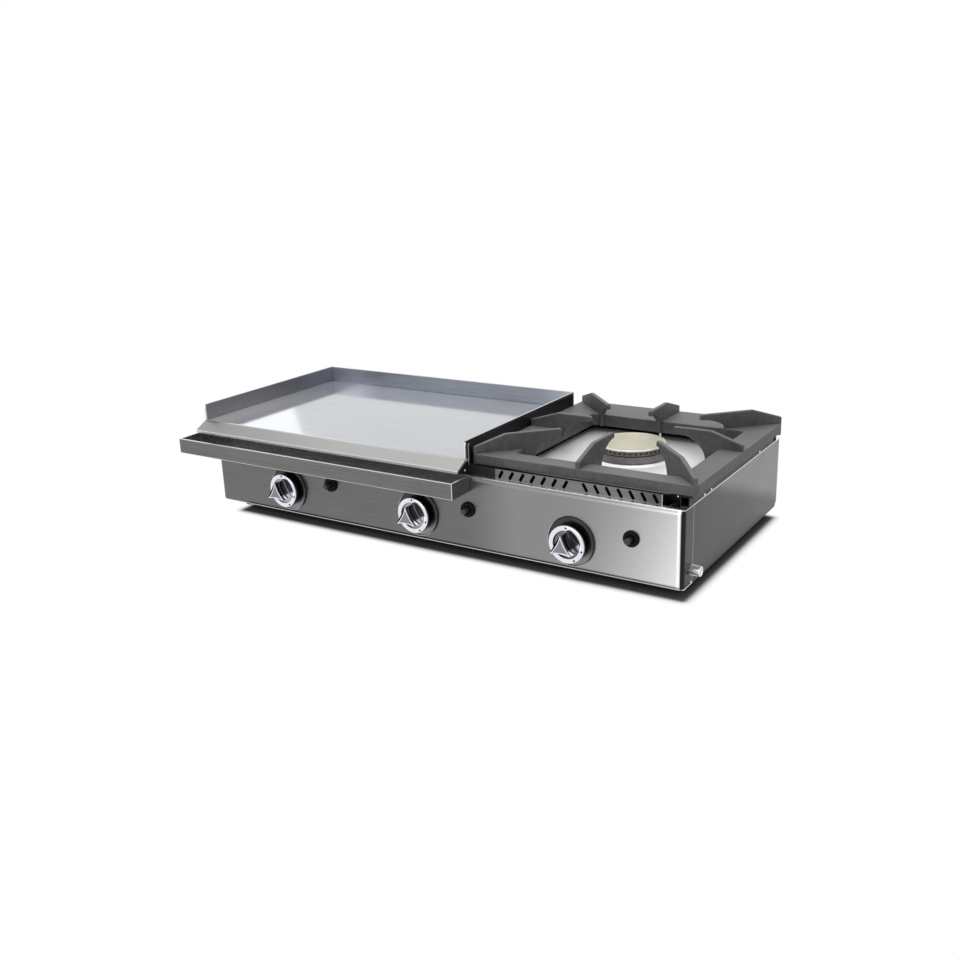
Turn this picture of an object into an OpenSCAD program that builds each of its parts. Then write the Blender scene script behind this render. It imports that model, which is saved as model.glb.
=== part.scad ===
// Countertop gas griddle with one side burner, in millimetres.
// Modules are drawn from the left front lower corner of the body: x right, y back, z up.
// placed() moves each one so that the origin lies on the ground, under the middle of the whole.

/* [Body] */
// Length of the body, left to right
body_l = 970; // [820:1:1120]
// Depth of the body, front to back
body_d = 448; // [380:1:520]
// Height of the sheet body
body_h = 130; // [112:1:150]
// Radius of the two upright front corners
corner_r = 9; // [5:0.5:12]
// How far the front panel wraps round each side
seam_y = 40; // [36:1:50]
// Width of the folded flanges
flange_w = 13; // [10:0.5:14]
// Thickness of the body sheet
sheet_t = 1.5; // [1:0.1:2]
// Corner cut low at the back of each side panel
side_cut = 10; // [4:1:14]
// Height of the rubber feet under the body
foot_h = 12; // [8:1:25]
// Radius of a rubber foot
foot_r = 14; // [11:0.5:18]
// Distance of each foot from the nearer side
foot_in_x = 42; // [34:1:80]
// Distance of each foot from the front and from the back
foot_in_y = 36; // [34:1:80]
// Length of a vent slot
vent_l = 30; // [20:1:34]
// Width of a vent slot
vent_w = 4; // [3:0.5:6]

/* [Griddle] */
// How far the plate hangs over the left side
griddle_over = 35; // [20:1:40]
// Thickness of the griddle plate
plate_t = 5; // [4:0.5:6]
// Height of the cooking surface over the body
plate_rise = 27; // [24:1:30]
// Where the plate bends down to its lip
bend_y = 8; // [6:1:10]
// Length of the lip, measured along y
lip_run = 26; // [22:1:30]
// Drop of the lip
lip_drop = 14; // [11:1:15]
// Distance of the plate's back edge from the body's back
griddle_behind = 52; // [44:1:60]
// Height of the splash guards
guard_h = 32; // [26:1:36]
// Thickness of the splash guards
guard_t = 3; // [2:0.5:4]
// Radius of the guards' upper front corners
guard_r = 8; // [4:1:12]
// Gap between the right guard and the heat shield
shield_gap = 1; // [0.5:0.1:1.5]
// Height of the heat shield over the body
shield_rise = 56; // [50:1:58]
// How far the heat shield reaches down into the body
shield_down = 40; // [20:1:60]
// How far the griddle's front rail reaches down into the body
rail_down = 20; // [12:1:24]

/* [Gutter] */
// How far the gutter sticks out on the left
gutter_over = 44; // [36:1:50]
// How far the gutter runs past the plate on the right
gutter_past = 13; // [4:1:20]
// Depth of the gutter, front to back
gutter_d = 55; // [52:1:60]
// Height of the gutter
gutter_h = 29; // [26:1:29]
// How far its rim stands over the body
gutter_lift = 4; // [3:0.5:5]
// Gap between the gutter and the front panel
gutter_gap = 0.3; // [0.2:0.1:0.5]
// Thickness of the gutter sheet
gutter_t = 1.2; // [1:0.1:1.5]
// Width of a gutter tongue
tongue_w = 24; // [18:1:30]
// Length of a gutter tongue behind the panel
tongue_l = 11; // [8:1:12]
// Clearance round a tongue in its slot
tongue_gap = 0.3; // [0.2:0.1:0.5]
// Height of the tongues over the gutter floor
tongue_up = 12; // [8:1:14]

/* [Side burner] */
// Height of the trivet's underside over the body
rail_rise = 17; // [16:1:19]
// Distance of the strip from the divider
strip_in = 52; // [40:0.5:60]
// Distance of the strip from the body's right side
strip_out = 40.5; // [30:0.5:44]
// Depth of the slotted strip's folded top
strip_d = 7; // [5:1:9]
// Spacing of the slots
slot_pitch = 20; // [18:0.5:20]
// Length of a slot
slot_l = 13; // [10:0.5:14]
// Width of a slot
slot_w = 4.4; // [3:0.1:5]
// Lean of the slots from upright
slot_lean = 30; // [15:1:40]
// Distance of the tray's back edge from the body's back
tray_behind = 76; // [60:1:86]
// Radius of the hole in the tray
tray_hole_r = 64; // [62:0.5:65]
// Height of the collar round that hole
collar_h = 4; // [3:0.5:6]
// Width of the black rails that carry the trivet
rail_w = 15; // [14:1:18]

/* [Trivet] */
// Length of the trivet, left to right
trivet_l = 400; // [370:1:440]
// How far the trivet hangs over the right side
trivet_over = 11; // [8:0.5:11]
// Distance of the trivet's back from the body's back
trivet_behind = 19; // [14:0.5:22]
// Gap between the heat shield and the trivet
trivet_gap = 0.5; // [0.4:0.1:1]
// Height of the trivet frame
trivet_h = 18; // [14:1:20]
// Width of the left bar
bar_left = 66; // [58:1:72]
// Width of the right bar
bar_right = 42; // [36:1:46]
// Width of the front bar
bar_front = 35; // [30:1:40]
// Width of the rear bar
bar_rear = 84; // [72:1:92]
// Wall thickness of the casting
cast_t = 6; // [5:0.5:8]
// How far the wall round the window reaches below the frame
skirt_h = 5; // [2:0.5:8]
// Thickness of a finger
finger_t = 8; // [6:0.5:10]
// Height of a finger's outer end over the frame
finger_end_h = 11; // [7:0.5:14]
// Height of a finger's level top over the frame
finger_top = 29; // [25:0.5:32]
// Length of a finger's slope
finger_slope = 56; // [46:1:64]
// Distance of the side fingers' tips from the middle
tip_side = 76; // [66:1:84]
// Distance of the corner fingers' tips from the middle
tip_corner = 126; // [116:1:140]
// Distance of the side fingers' legs from the middle
leg_side = 128; // [118:1:138]
// Distance of the corner fingers' legs from the middle
leg_corner = 190; // [180:1:198]
// Height of a finger's tip
tip_h = 10; // [8:0.5:12]

/* [Burner] */
// Radius of the burner cap
cap_r = 59; // [56:0.5:61]
// Height of the cap's top over the body
cap_rise = 28; // [27:0.5:31]
// Thickness of the cap's rim
cap_t = 3; // [2:0.5:4]
// Height of the perforated crown
crown_h = 9; // [8:0.5:11]
// Radius of the cast ring at its foot
ring_r = 68; // [66:0.5:70]
// Radius of the cast ring at its top
ring_top_r = 61; // [59.5:0.5:64]
// Radius of the bore in the cast ring
ring_bore = 45; // [42:0.5:48]
// Gap round the spigots of the crown and the cap
spigot_gap = 0.5; // [0.3:0.1:0.8]
// Number of flame ports in the crown
port_n = 40; // [24:1:48]
// Radius of a flame port
port_r = 1.6; // [1:0.1:1.8]
// Outer radius of the venturi tubes
venturi_r = 11; // [10:0.5:12]
// Wall thickness of burner tubes
tube_t = 2; // [1.5:0.5:3]
// Outer radius of the griddle burners' legs
leg_r = 12; // [11:0.5:13]
// Distance of each leg from its burner's middle
leg_off = 45; // [38:1:48]
// Depth of the legs' axis under the plate
leg_drop = 64; // [58:1:68]
// Front end of the griddle burners' cross tube
cross_y = 110; // [100:1:120]

/* [Controls] */
// Distance of the second knob from the plate's right end
knob_side = 97; // [90:1:110]
// Radius of a bezel
bezel_r = 42; // [40:0.5:44]
// Thickness of a bezel
bezel_t = 3; // [2:0.5:3.5]
// Radius of a knob's disc
knob_r = 32; // [30:0.5:34]
// Distance of the knob's back from the panel
knob_back = 7.5; // [7:0.5:9]
// Distance of the disc's front from the panel
knob_front = 19.5; // [18:0.5:21]
// Distance of the grip's front from the panel
grip_front = 39.5; // [36:0.5:42]
// Radius of the grip's lobes
lobe_r = 21; // [18:0.5:23]
// Radius of the grip between its lobes
waist_r = 11; // [9:0.5:13]
// Travel of a knob when it is pushed in
push_travel = 3; // [2:0.5:3]
// Radius of a tap stem
stem_r = 4; // [3.5:0.1:4.5]
// Radial clearance of the turning and sliding fits
fit_gap = 0.06; // [0.02:0.01:0.1]
// Radius of a tap plug
plug_r = 7; // [6:0.5:8]
// Radius of a tap body
tap_r = 13; // [12:0.5:14]
// Distance of an igniter from its knob
igniter_dx = 104; // [100:1:106]
// Height of the igniters over the knobs' middle
igniter_rise = 22.5; // [18:0.5:25]
// Radius of an igniter's bezel
igniter_r = 13.5; // [12:0.5:14]
// Thickness of an igniter's bezel
igniter_t = 5; // [4:0.5:6]
// Radius of an igniter's barrel
barrel_r = 9; // [8:0.5:10]
// Radius of an igniter's button
button_r = 5; // [4:0.5:6]
// Distance of the button's front from the panel
button_front = 13; // [12:0.5:14]
// Travel of the button
button_travel = 6; // [4:0.5:6]

/* [Gas] */
// Outer radius of the manifold
pipe_r = 8; // [7.5:0.1:8.2]
// Outer radius of the threaded inlet
thread_r = 8.33; // [8.3:0.01:10.5]
// Radius of the manifold's bore
pipe_bore = 6; // [5:0.5:6.5]
// Distance of the manifold's axis behind the panel
pipe_y = 32; // [30:1:34]
// Depth of the manifold's axis under the knobs' middle
pipe_drop = 24; // [23:0.5:26]
// How far the threaded end sticks out
inlet_out = 17; // [14:1:24]

/* [Hidden] */
$fn = 96;
eps = 0.5;
steel = [0.72, 0.73, 0.74];
blued = [0.5, 0.53, 0.57];
black = [0.07, 0.07, 0.075];
iron = [0.3, 0.29, 0.28];
chrome = [0.85, 0.86, 0.88];
brass = [0.78, 0.62, 0.35];
alloy = [0.6, 0.6, 0.6];
white = [0.9, 0.89, 0.86];

base_z = 2 * sheet_t;
inner_y = body_d - sheet_t;
floor_y = inner_y - side_cut;
trivet_x1 = body_l + trivet_over;
trivet_x0 = trivet_x1 - trivet_l;
hob_x = (trivet_x0 + trivet_x1) / 2;
griddle_x0 = -griddle_over;
griddle_x1 = trivet_x0 - trivet_gap - sheet_t - shield_gap;
griddle_l = griddle_x1 - griddle_x0;
griddle_back = body_d - griddle_behind;
plate_z = body_h + plate_rise;
plate_under = plate_z - plate_t;
lip_y = bend_y - lip_run;
shield_x = griddle_x1 + shield_gap;
divider_x = shield_x + sheet_t;
rear_wall_y = griddle_back - flange_w;
web_y = flange_w + sheet_t;
front_wall_y = 84;
support_y = rear_wall_y - 17;
leg_z = plate_under - leg_drop;
gutter_x0 = -gutter_over;
gutter_x1 = griddle_x1 + gutter_past;
gutter_l = gutter_x1 - gutter_x0;
gutter_z1 = body_h + gutter_lift;
gutter_z0 = gutter_z1 - gutter_h;
tongue_z = gutter_z0 + tongue_up;
tongue_xs = [for (i = [-1:1]) gutter_x0 + gutter_l / 2 + i * gutter_l * 0.3];
strip_x0 = divider_x + strip_in;
strip_x1 = body_l - strip_out;
strip_mid = (strip_x0 + strip_x1) / 2;
strip_y = flange_w + strip_d;
rail_z = body_h + rail_rise;
trivet_y0 = strip_y;
trivet_y1 = body_d - trivet_behind;
trivet_d = trivet_y1 - trivet_y0;
hob_y = (trivet_y0 + trivet_y1) / 2;
tray_back = body_d - tray_behind;
trivet_r = 8;
window_r = 10;
rear_rail_y = trivet_y1 - rail_w;
ring_z = body_h + sheet_t + collar_h;
cap_z = body_h + cap_rise;
crown_z = cap_z - cap_t - crown_h;
crown_r = cap_r - 0.5;
bezel_gap = 5;
knob_z = (gutter_z0 - bezel_gap) / 2;
knob_share = 0.4894;
knob_2_x = griddle_x1 - knob_side;
knob_xs = [knob_2_x - knob_share * griddle_l, knob_2_x, hob_x];
igniter_z = knob_z + igniter_rise;
pipe_z = knob_z - pipe_drop;
tap_front = web_y;
tap_back = 56;
tang_front = 20;
tang_l = 9;
plug_front = tang_front + push_travel + 1;
plug_back = 50;
tang_w = 6;
tang_t = 2.6;
slot_gap = 0.2;
injector_l = 10;
manifold_past = 31;
mouth_y = tap_back + 6;
electrode_z = leg_z + 20;
probe_dx = 26;
spark_r = 3;
spark_flange = 2;
spark_above = 16;
spark_wire = 8;
wire_r = 0.8;
spark_below = 18;
hob_below = 30;
hob_probe = [20, 76];
foot_xs = [foot_in_x, body_l - foot_in_x];
foot_gap = 0.5;
foot_ys = [foot_in_y, floor_y - flange_w - foot_r - foot_gap];
foot_screw_r = 2.5;
rivet_r = 2;
screw_r = 3;
tab_in = 14;
tag_y = 46;
button_back = 12;
tag_l = 6;
tag_r = 2;
lead_r = 1.5;

// Shared shapes

// Moves a piece from the body's corner to the frame of the whole
module placed() {
    translate([-(body_l + inlet_out - gutter_over) / 2, -(body_d - gutter_d) / 2, foot_h]) children();
}

// A box between two values along each axis
module block(x, y, z) {
    translate([x[0], y[0], z[0]]) cube([x[1] - x[0], y[1] - y[0], z[1] - z[0]]);
}

// A round rod along x
module x_rod(r, x0, x1) {
    translate([x0, 0, 0]) rotate([0, 90, 0]) cylinder(r = r, h = x1 - x0);
}

// A round rod along y
module y_rod(r, y0, y1) {
    translate([0, y1, 0]) rotate([90, 0, 0]) cylinder(r = r, h = y1 - y0);
}

// A flat rectangle with round corners
module rounded(x, y, r) {
    translate([x[0] + r, y[0]]) square([x[1] - x[0] - 2 * r, y[1] - y[0]]);
    translate([x[0], y[0] + r]) square([x[1] - x[0], y[1] - y[0] - 2 * r]);
    for (cx = [x[0] + r, x[1] - r], cy = [y[0] + r, y[1] - r]) translate([cx, cy]) circle(r = r);
}

// A slot with round ends, lying along x
module slot(l, w) {
    square([l - w, w], center = true);
    for (s = [-1, 1]) translate([s * (l - w) / 2, 0]) circle(d = w);
}

// Plan of the body, drawn in by inset, as deep as y_end
module body_plan(inset, y_end) {
    translate([corner_r, inset]) square([body_l - 2 * corner_r, y_end - inset]);
    translate([inset, corner_r]) square([body_l - 2 * inset, y_end - corner_r]);
    for (x = [corner_r, body_l - corner_r]) translate([x, corner_r]) circle(r = corner_r - inset);
}

// A domed screw or rivet head that faces up
module dome(r) {
    intersection() {
        translate([0, 0, -0.6 * r]) sphere(r = 1.17 * r, $fn = 32);
        cylinder(r = r, h = r, $fn = 32);
    }
}

// Body

module front_panel() {
    color(steel) placed() difference() {
        union() {
            linear_extrude(body_h) difference() {
                body_plan(0, seam_y);
                body_plan(sheet_t, seam_y + eps);
            }
            for (z = [0, body_h - sheet_t]) translate([0, 0, z]) linear_extrude(sheet_t) difference() {
                body_plan(0, seam_y);
                translate([flange_w, flange_w]) square([body_l - 2 * flange_w, seam_y]);
            }
        }
        for (x = knob_xs) {
            translate([x, 0, knob_z]) y_rod(stem_r + 1, -eps, sheet_t + eps);
            translate([x + igniter_dx, 0, igniter_z]) y_rod(barrel_r + fit_gap, -eps, sheet_t + eps);
        }
        for (x = tongue_xs) tongue(x, tongue_gap);
        translate([0, pipe_y, pipe_z]) x_rod(pipe_r + fit_gap, body_l - corner_r, body_l + eps);
        translate([0, pipe_y + 3, pipe_z / 2]) x_rod(tag_r, body_l - corner_r, body_l + eps);
    }
}

// Outline of a side panel, seen from the side, with its lower back corner cut
module side_outline() {
    polygon([[seam_y, 0], [floor_y, 0], [inner_y, side_cut], [inner_y, body_h], [seam_y, body_h]]);
}

// Side panel with its flanges folded towards higher x
module side_panel() {
    rotate([90, 0, 90]) linear_extrude(sheet_t) side_outline();
    block([sheet_t, flange_w], [seam_y, floor_y], [0, sheet_t]);
    block([sheet_t, flange_w], [seam_y, inner_y], [body_h - sheet_t, body_h]);
}

module left_side_panel() {
    color(steel) placed() side_panel();
}

module right_side_panel() {
    color(steel) placed() translate([body_l, 0, 0]) mirror([1, 0, 0]) side_panel();
}

module rear_panel() {
    vents = 12;
    vent_pitch = body_l / (vents + 1);
    color(steel) placed() difference() {
        union() {
            rotate([90, 0, 90]) linear_extrude(body_l) polygon([
                [body_d, body_h], [body_d, side_cut], [body_d - side_cut, 0],
                [floor_y, 0], [inner_y, side_cut], [inner_y, body_h]
            ]);
            block([flange_w, body_l - flange_w], [floor_y - flange_w, floor_y + sheet_t], [0, sheet_t]);
            block([flange_w, body_l - flange_w], [inner_y - flange_w, body_d], [body_h - sheet_t, body_h]);
        }
        for (i = [1:vents], z = [0.3, 0.5, 0.7] * body_h) {
            translate([i * vent_pitch, body_d + eps, z]) rotate([90, 0, 0])
                linear_extrude(sheet_t + 2 * eps) slot(vent_l, vent_w);
        }
    }
}

module base_plate() {
    vents = 8;
    vent_pitch = body_l / (vents + 1);
    color(steel) placed() difference() {
        translate([0, 0, sheet_t]) linear_extrude(sheet_t) body_plan(sheet_t, floor_y);
        for (i = [1:vents], y = [0.35, 0.5, 0.65] * body_d) {
            translate([i * vent_pitch, y, 0]) linear_extrude(base_z + eps) slot(vent_l, vent_w);
        }
        for (x = foot_xs, y = foot_ys) translate([x, y, 0]) cylinder(r = foot_screw_r, h = base_z + eps);
    }
}

// Rubber foot with a recess for its screw
module foot() {
    difference() {
        union() {
            cylinder(r1 = foot_r - 1.5, r2 = foot_r, h = foot_h);
            translate([0, 0, foot_h]) cylinder(r = foot_r, h = sheet_t);
        }
        translate([0, 0, -eps]) cylinder(r = foot_r / 2, h = foot_h / 2 + eps);
        cylinder(r = foot_screw_r, h = foot_h + 2 * sheet_t);
    }
}

module rubber_feet() {
    color(black) placed() for (x = foot_xs, y = foot_ys) translate([x, y, -foot_h]) foot();
}

// Griddle

module griddle_plate() {
    color(steel) placed() translate([griddle_x0, 0, 0]) rotate([90, 0, 90]) linear_extrude(griddle_l)
        polygon([
            [lip_y, plate_z - lip_drop], [bend_y, plate_z], [griddle_back, plate_z],
            [griddle_back, plate_under], [bend_y, plate_under], [lip_y, plate_under - lip_drop]
        ]);
}

// Upright sheet along y with a round upper front corner, seen from the side
module guard_outline(y0, y1, z0, z1) {
    translate([y0, z0]) square([y1 - y0, z1 - z0 - guard_r]);
    translate([y0 + guard_r, z0]) square([y1 - y0 - guard_r, z1 - z0]);
    translate([y0 + guard_r, z1 - guard_r]) circle(r = guard_r);
}

module side_guard(x) {
    translate([x, 0, 0]) rotate([90, 0, 90]) linear_extrude(guard_t)
        guard_outline(bend_y, griddle_back, plate_z, plate_z + guard_h);
}

module left_guard() {
    color(steel) placed() side_guard(griddle_x0);
}

module right_guard() {
    color(steel) placed() side_guard(griddle_x1 - guard_t);
}

module rear_guard() {
    color(blued) placed() block([griddle_x0 + guard_t, griddle_x1 - guard_t],
        [griddle_back - guard_t, griddle_back], [plate_z, plate_z + guard_h]);
}

module heat_shield() {
    color(black) placed() translate([shield_x, 0, 0]) rotate([90, 0, 90]) linear_extrude(sheet_t)
        guard_outline(web_y, rear_wall_y, body_h - shield_down, body_h + shield_rise);
}

// Height of the lip's underside at y
function lip_under(y) = plate_under - (bend_y - y) * lip_drop / lip_run;

// Slanted gusset under the lip
module gusset(x) {
    y_tip = lip_y + 4;
    translate([x, 0, 0]) rotate([90, 0, 90]) linear_extrude(sheet_t) polygon([
        [y_tip, lip_under(y_tip)], [bend_y, plate_under], [flange_w, plate_under],
        [flange_w, body_h], [sheet_t, body_h], [0, gutter_z1 + gutter_gap]
    ]);
}

module griddle_front_rail() {
    color(black) placed() {
        block([flange_w, griddle_x1], [flange_w, web_y], [body_h - rail_down, plate_under]);
        block([griddle_x1, strip_x0], [flange_w, web_y], [body_h - rail_down, rail_z]);
        block([divider_x + sheet_t, strip_x0], [web_y, web_y + rail_w], [rail_z - sheet_t, rail_z]);
        for (x = [flange_w, griddle_x1 - 2 * sheet_t]) gusset(x);
    }
}

module firebox_left_wall() {
    color(black) placed() {
        block([flange_w, web_y], [web_y, rear_wall_y], [base_z, plate_under]);
        block([web_y, web_y + flange_w], [web_y, rear_wall_y], [plate_under - sheet_t, plate_under]);
    }
}

module firebox_rear_wall() {
    y1 = rear_wall_y + sheet_t;
    color(black) placed() {
        block([flange_w, divider_x], [rear_wall_y, y1], [base_z, plate_under]);
        block([web_y + flange_w, griddle_x1], [rear_wall_y - flange_w, rear_wall_y],
            [plate_under - sheet_t, plate_under]);
    }
}

module firebox_front_wall() {
    y = [front_wall_y, front_wall_y + sheet_t];
    color(black) placed() difference() {
        block([web_y, shield_x], y, [base_z, plate_under - sheet_t]);
        for (i = [0, 1]) {
            translate([knob_xs[i], 0, knob_z]) y_rod(venturi_r + 1, y[0] - eps, y[1] + eps);
            for (s = [-1, 1]) translate([knob_xs[i] + s * probe_dx, 0, electrode_z])
                y_rod(spark_r + fit_gap, y[0] - eps, y[1] + eps);
        }
    }
}

module divider_wall() {
    x1 = divider_x + sheet_t;
    color(black) placed() {
        difference() {
            block([divider_x, x1], [web_y, inner_y], [base_z, rail_z]);
            block([divider_x - eps, x1 + eps], [0, tap_back + 6], [0, body_h - rail_down - 5]);
            block([divider_x - eps, x1 + eps], [inner_y - flange_w, body_d], [body_h - 2 * sheet_t, body_h]);
            block([divider_x - eps, x1 + eps], [floor_y, body_d], [0, side_cut]);
        }
        block([x1, divider_x + rail_w], [web_y + rail_w, rear_rail_y], [rail_z - sheet_t, rail_z]);
    }
}

module rear_vent_cover() {
    vents = 10;
    y0 = rear_wall_y + sheet_t;
    y_mid = (y0 + body_d) / 2;
    color(steel) placed() difference() {
        block([0, divider_x], [y0, body_d], [body_h, body_h + sheet_t]);
        for (i = [1:vents]) translate([i * divider_x / (vents + 1), y_mid, body_h - eps])
            linear_extrude(sheet_t + 2 * eps) slot(vent_l, vent_w);
    }
}

// Gutter

// A tongue that hooks through the front panel, grown all round by gap
module tongue(x, gap) {
    block([x - tongue_w / 2 - gap, x + tongue_w / 2 + gap], [-gutter_gap - gutter_t - gap, tongue_l + gap],
        [tongue_z - gap, tongue_z + gutter_t + gap]);
}

module drip_gutter() {
    hem_h = 3;
    hem_t = 2 * gutter_t;
    x = [gutter_x0, gutter_x1];
    y = [-gutter_d, -gutter_gap];
    color(steel) placed() {
        difference() {
            block(x, y, [gutter_z0, gutter_z1]);
            block(x + [gutter_t, -gutter_t], y + [gutter_t, -gutter_t], [gutter_z0 + gutter_t, gutter_z1 + eps]);
        }
        difference() {
            block(x, y, [gutter_z1 - hem_h, gutter_z1]);
            block(x + [hem_t, -hem_t], y + [hem_t, -hem_t], [gutter_z0, gutter_z1 + eps]);
        }
        for (x = tongue_xs) tongue(x, 0);
    }
}

// Side burner

// Slots of the strip, both ways from its middle, leaning away from each other
module strip_slots() {
    first = slot_pitch * 0.875;
    last = floor(((strip_x1 - strip_x0 - slot_l) / 2 - first) / slot_pitch);
    for (s = [-1, 1], i = [0:last]) {
        translate([strip_mid + s * (first + i * slot_pitch), web_y + eps, body_h + rail_rise / 2])
            rotate([90, 0, 0]) linear_extrude(sheet_t + 2 * eps)
            rotate(90 + s * slot_lean) slot(slot_l, slot_w);
    }
}

module slotted_strip() {
    color(steel) placed() {
        difference() {
            block([strip_x0, strip_x1], [flange_w, web_y], [body_h - rail_down, rail_z]);
            strip_slots();
        }
        block([strip_x0, strip_x1], [web_y, strip_y], [rail_z - sheet_t, rail_z]);
    }
}

module hob_tray() {
    color(steel) placed() {
        difference() {
            block([strip_x0, strip_x1], [web_y, tray_back], [body_h, body_h + sheet_t]);
            translate([hob_x, hob_y, body_h - eps]) cylinder(r = tray_hole_r, h = sheet_t + 2 * eps);
            for (s = [-1, 1]) translate([hob_x + s * hob_probe[0], hob_y + hob_probe[1], body_h - eps])
                cylinder(r = spark_r + fit_gap, h = sheet_t + 2 * eps);
        }
        translate([hob_x, hob_y, body_h + sheet_t]) rotate_extrude() polygon([
            [tray_hole_r, 0], [tray_hole_r + 7, 0], [tray_hole_r + 4, collar_h - 1],
            [tray_hole_r + 3, collar_h], [tray_hole_r, collar_h]
        ]);
    }
}

module hob_tray_rail() {
    x = [divider_x + sheet_t, body_l - flange_w];
    color(black) placed() {
        block(x, [tray_back - sheet_t, tray_back], [body_h - rail_w, body_h]);
        block(x, [tray_back - rail_w, tray_back - sheet_t], [body_h - sheet_t, body_h]);
    }
}

// Square tube along x or y, open at its ends
module square_tube(x, y, z, along_x) {
    ends = along_x ? [[-eps, eps], [sheet_t, -sheet_t]] : [[sheet_t, -sheet_t], [-eps, eps]];
    difference() {
        block(x, y, z);
        block(x + ends[0], y + ends[1], z + [sheet_t, -sheet_t]);
    }
}

module hob_right_rail() {
    x = [body_l - rail_w, body_l];
    y_tab = seam_y;
    color(black) placed() {
        square_tube(x, [strip_y, rear_rail_y], [body_h, rail_z], false);
        block([strip_x1 + 2, x[0]], [y_tab, y_tab + sheet_t], [body_h, rail_z]);
    }
}

module hob_rear_rail() {
    color(black) placed() square_tube([divider_x + sheet_t, body_l], [rear_rail_y, trivet_y1],
        [body_h, rail_z], true);
}

// Outline of the trivet's frame, its outside drawn in by a and its window drawn out by b
module trivet_outline(a, b) {
    difference() {
        rounded([trivet_x0 + a, trivet_x1 - a], [trivet_y0 + a, trivet_y1 - a], trivet_r);
        rounded([trivet_x0 + bar_left - b, trivet_x1 - bar_right + b],
            [trivet_y0 + bar_front - b, trivet_y1 - bar_rear + b], window_r);
    }
}

module trivet_frame() {
    deep = trivet_h + skirt_h;
    color(iron) placed() translate([0, 0, rail_z - skirt_h]) difference() {
        linear_extrude(deep) trivet_outline(0, 0);
        translate([0, 0, -eps]) linear_extrude(deep - cast_t + eps) trivet_outline(cast_t, cast_t);
        translate([0, 0, -eps]) linear_extrude(skirt_h + eps) trivet_outline(-eps, cast_t);
    }
}

// Finger that points at the middle from end to tip, arched in front of its leg and solid behind it
module finger(end, leg, tip) {
    steps = 12;
    under = finger_top - tip_h;
    root = -trivet_h - skirt_h;
    arch = [for (i = [0:steps]) let (a = 90 * i / steps)
        [tip + (leg - tip) * sin(a), root + (under - root) * cos(a)]];
    translate([0, finger_t / 2, 0]) rotate([90, 0, 0]) linear_extrude(finger_t) polygon(concat(arch, [
        [end, root], [end, finger_end_h], [end - finger_slope, finger_top],
        [tip + 2, finger_top], [tip, finger_top - 2]
    ]));
}

module trivet_fingers() {
    corner_a = atan2(trivet_d, trivet_l);
    corner_end = norm([trivet_l, trivet_d]) / 2 - trivet_r;
    color(iron) placed() difference() {
        translate([hob_x, hob_y, rail_z + trivet_h]) {
            for (a = [0, 180]) rotate(a) finger(trivet_l / 2, leg_side, tip_side);
            for (a = [90, 270]) rotate(a) finger(trivet_d / 2, leg_side, tip_side);
            for (a = [corner_a, 180 - corner_a, 180 + corner_a, 360 - corner_a]) {
                rotate(a) finger(corner_end, leg_corner, tip_corner);
            }
        }
        translate([0, 0, rail_z - skirt_h - eps]) linear_extrude(trivet_h + skirt_h + eps)
            trivet_outline(-2 * trivet_r, 0);
    }
}

// Burners

// Cup and venturi of the side burner
module burner_base() {
    wall = 4;
    rim_r = tray_hole_r - 6;
    neck_z = leg_z + 10;
    reach = hob_y - mouth_y;
    color(alloy) placed() translate([hob_x, hob_y, 0]) difference() {
        union() {
            rotate_extrude() polygon([
                [0, knob_z - venturi_r], [24, knob_z - venturi_r], [26, knob_z + venturi_r],
                [rim_r, neck_z], [rim_r, ring_z], [0, ring_z]
            ]);
            translate([0, 0, knob_z]) y_rod(venturi_r, -reach, 0);
        }
        rotate_extrude() polygon([
            [0, knob_z - venturi_r + wall], [24 - wall, knob_z - venturi_r + wall],
            [26 - wall, knob_z + venturi_r], [rim_r - wall, neck_z], [rim_r - wall, ring_z + eps],
            [0, ring_z + eps]
        ]);
        translate([0, 0, knob_z]) y_rod(venturi_r - tube_t, -reach - eps, 0);
    }
}

module burner_ring() {
    color(alloy) placed() translate([hob_x, hob_y, 0]) rotate_extrude() polygon([
        [ring_bore, ring_z], [ring_r - 1, ring_z], [ring_r, ring_z + 1], [ring_top_r, crown_z - 1],
        [ring_top_r - 1, crown_z], [ring_bore, crown_z]
    ]);
}

module burner_crown() {
    bore = ring_bore - 7;
    top = cap_z - cap_t;
    color(black) placed() translate([hob_x, hob_y, 0]) difference() {
        rotate_extrude() polygon([
            [bore, crown_z - 7], [ring_bore - spigot_gap, crown_z - 7], [ring_bore - spigot_gap, crown_z],
            [crown_r - 2, crown_z], [crown_r - 2, crown_z + 1.2], [crown_r, crown_z + 1.2],
            [crown_r, top], [bore, top]
        ]);
        for (i = [0:port_n - 1]) rotate(i * 360 / port_n)
            translate([0, 0, crown_z + crown_h * 0.6]) x_rod(port_r, bore - eps, crown_r + eps);
    }
}

module burner_cap() {
    bore = ring_bore - 7 - spigot_gap;
    color([0.72, 0.66, 0.56]) placed() translate([hob_x, hob_y, 0]) rotate_extrude() polygon([
        [0, cap_z - cap_t], [bore - 3, cap_z - cap_t], [bore - 3, cap_z - cap_t - 4],
        [bore, cap_z - cap_t - 4], [bore, cap_z - cap_t], [cap_r, cap_z - cap_t],
        [cap_r, cap_z - 0.8], [cap_r - 0.8, cap_z], [cap_r - 4, cap_z], [cap_r - 5, cap_z - 0.6],
        [0, cap_z - 0.6]
    ]);
}

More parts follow.
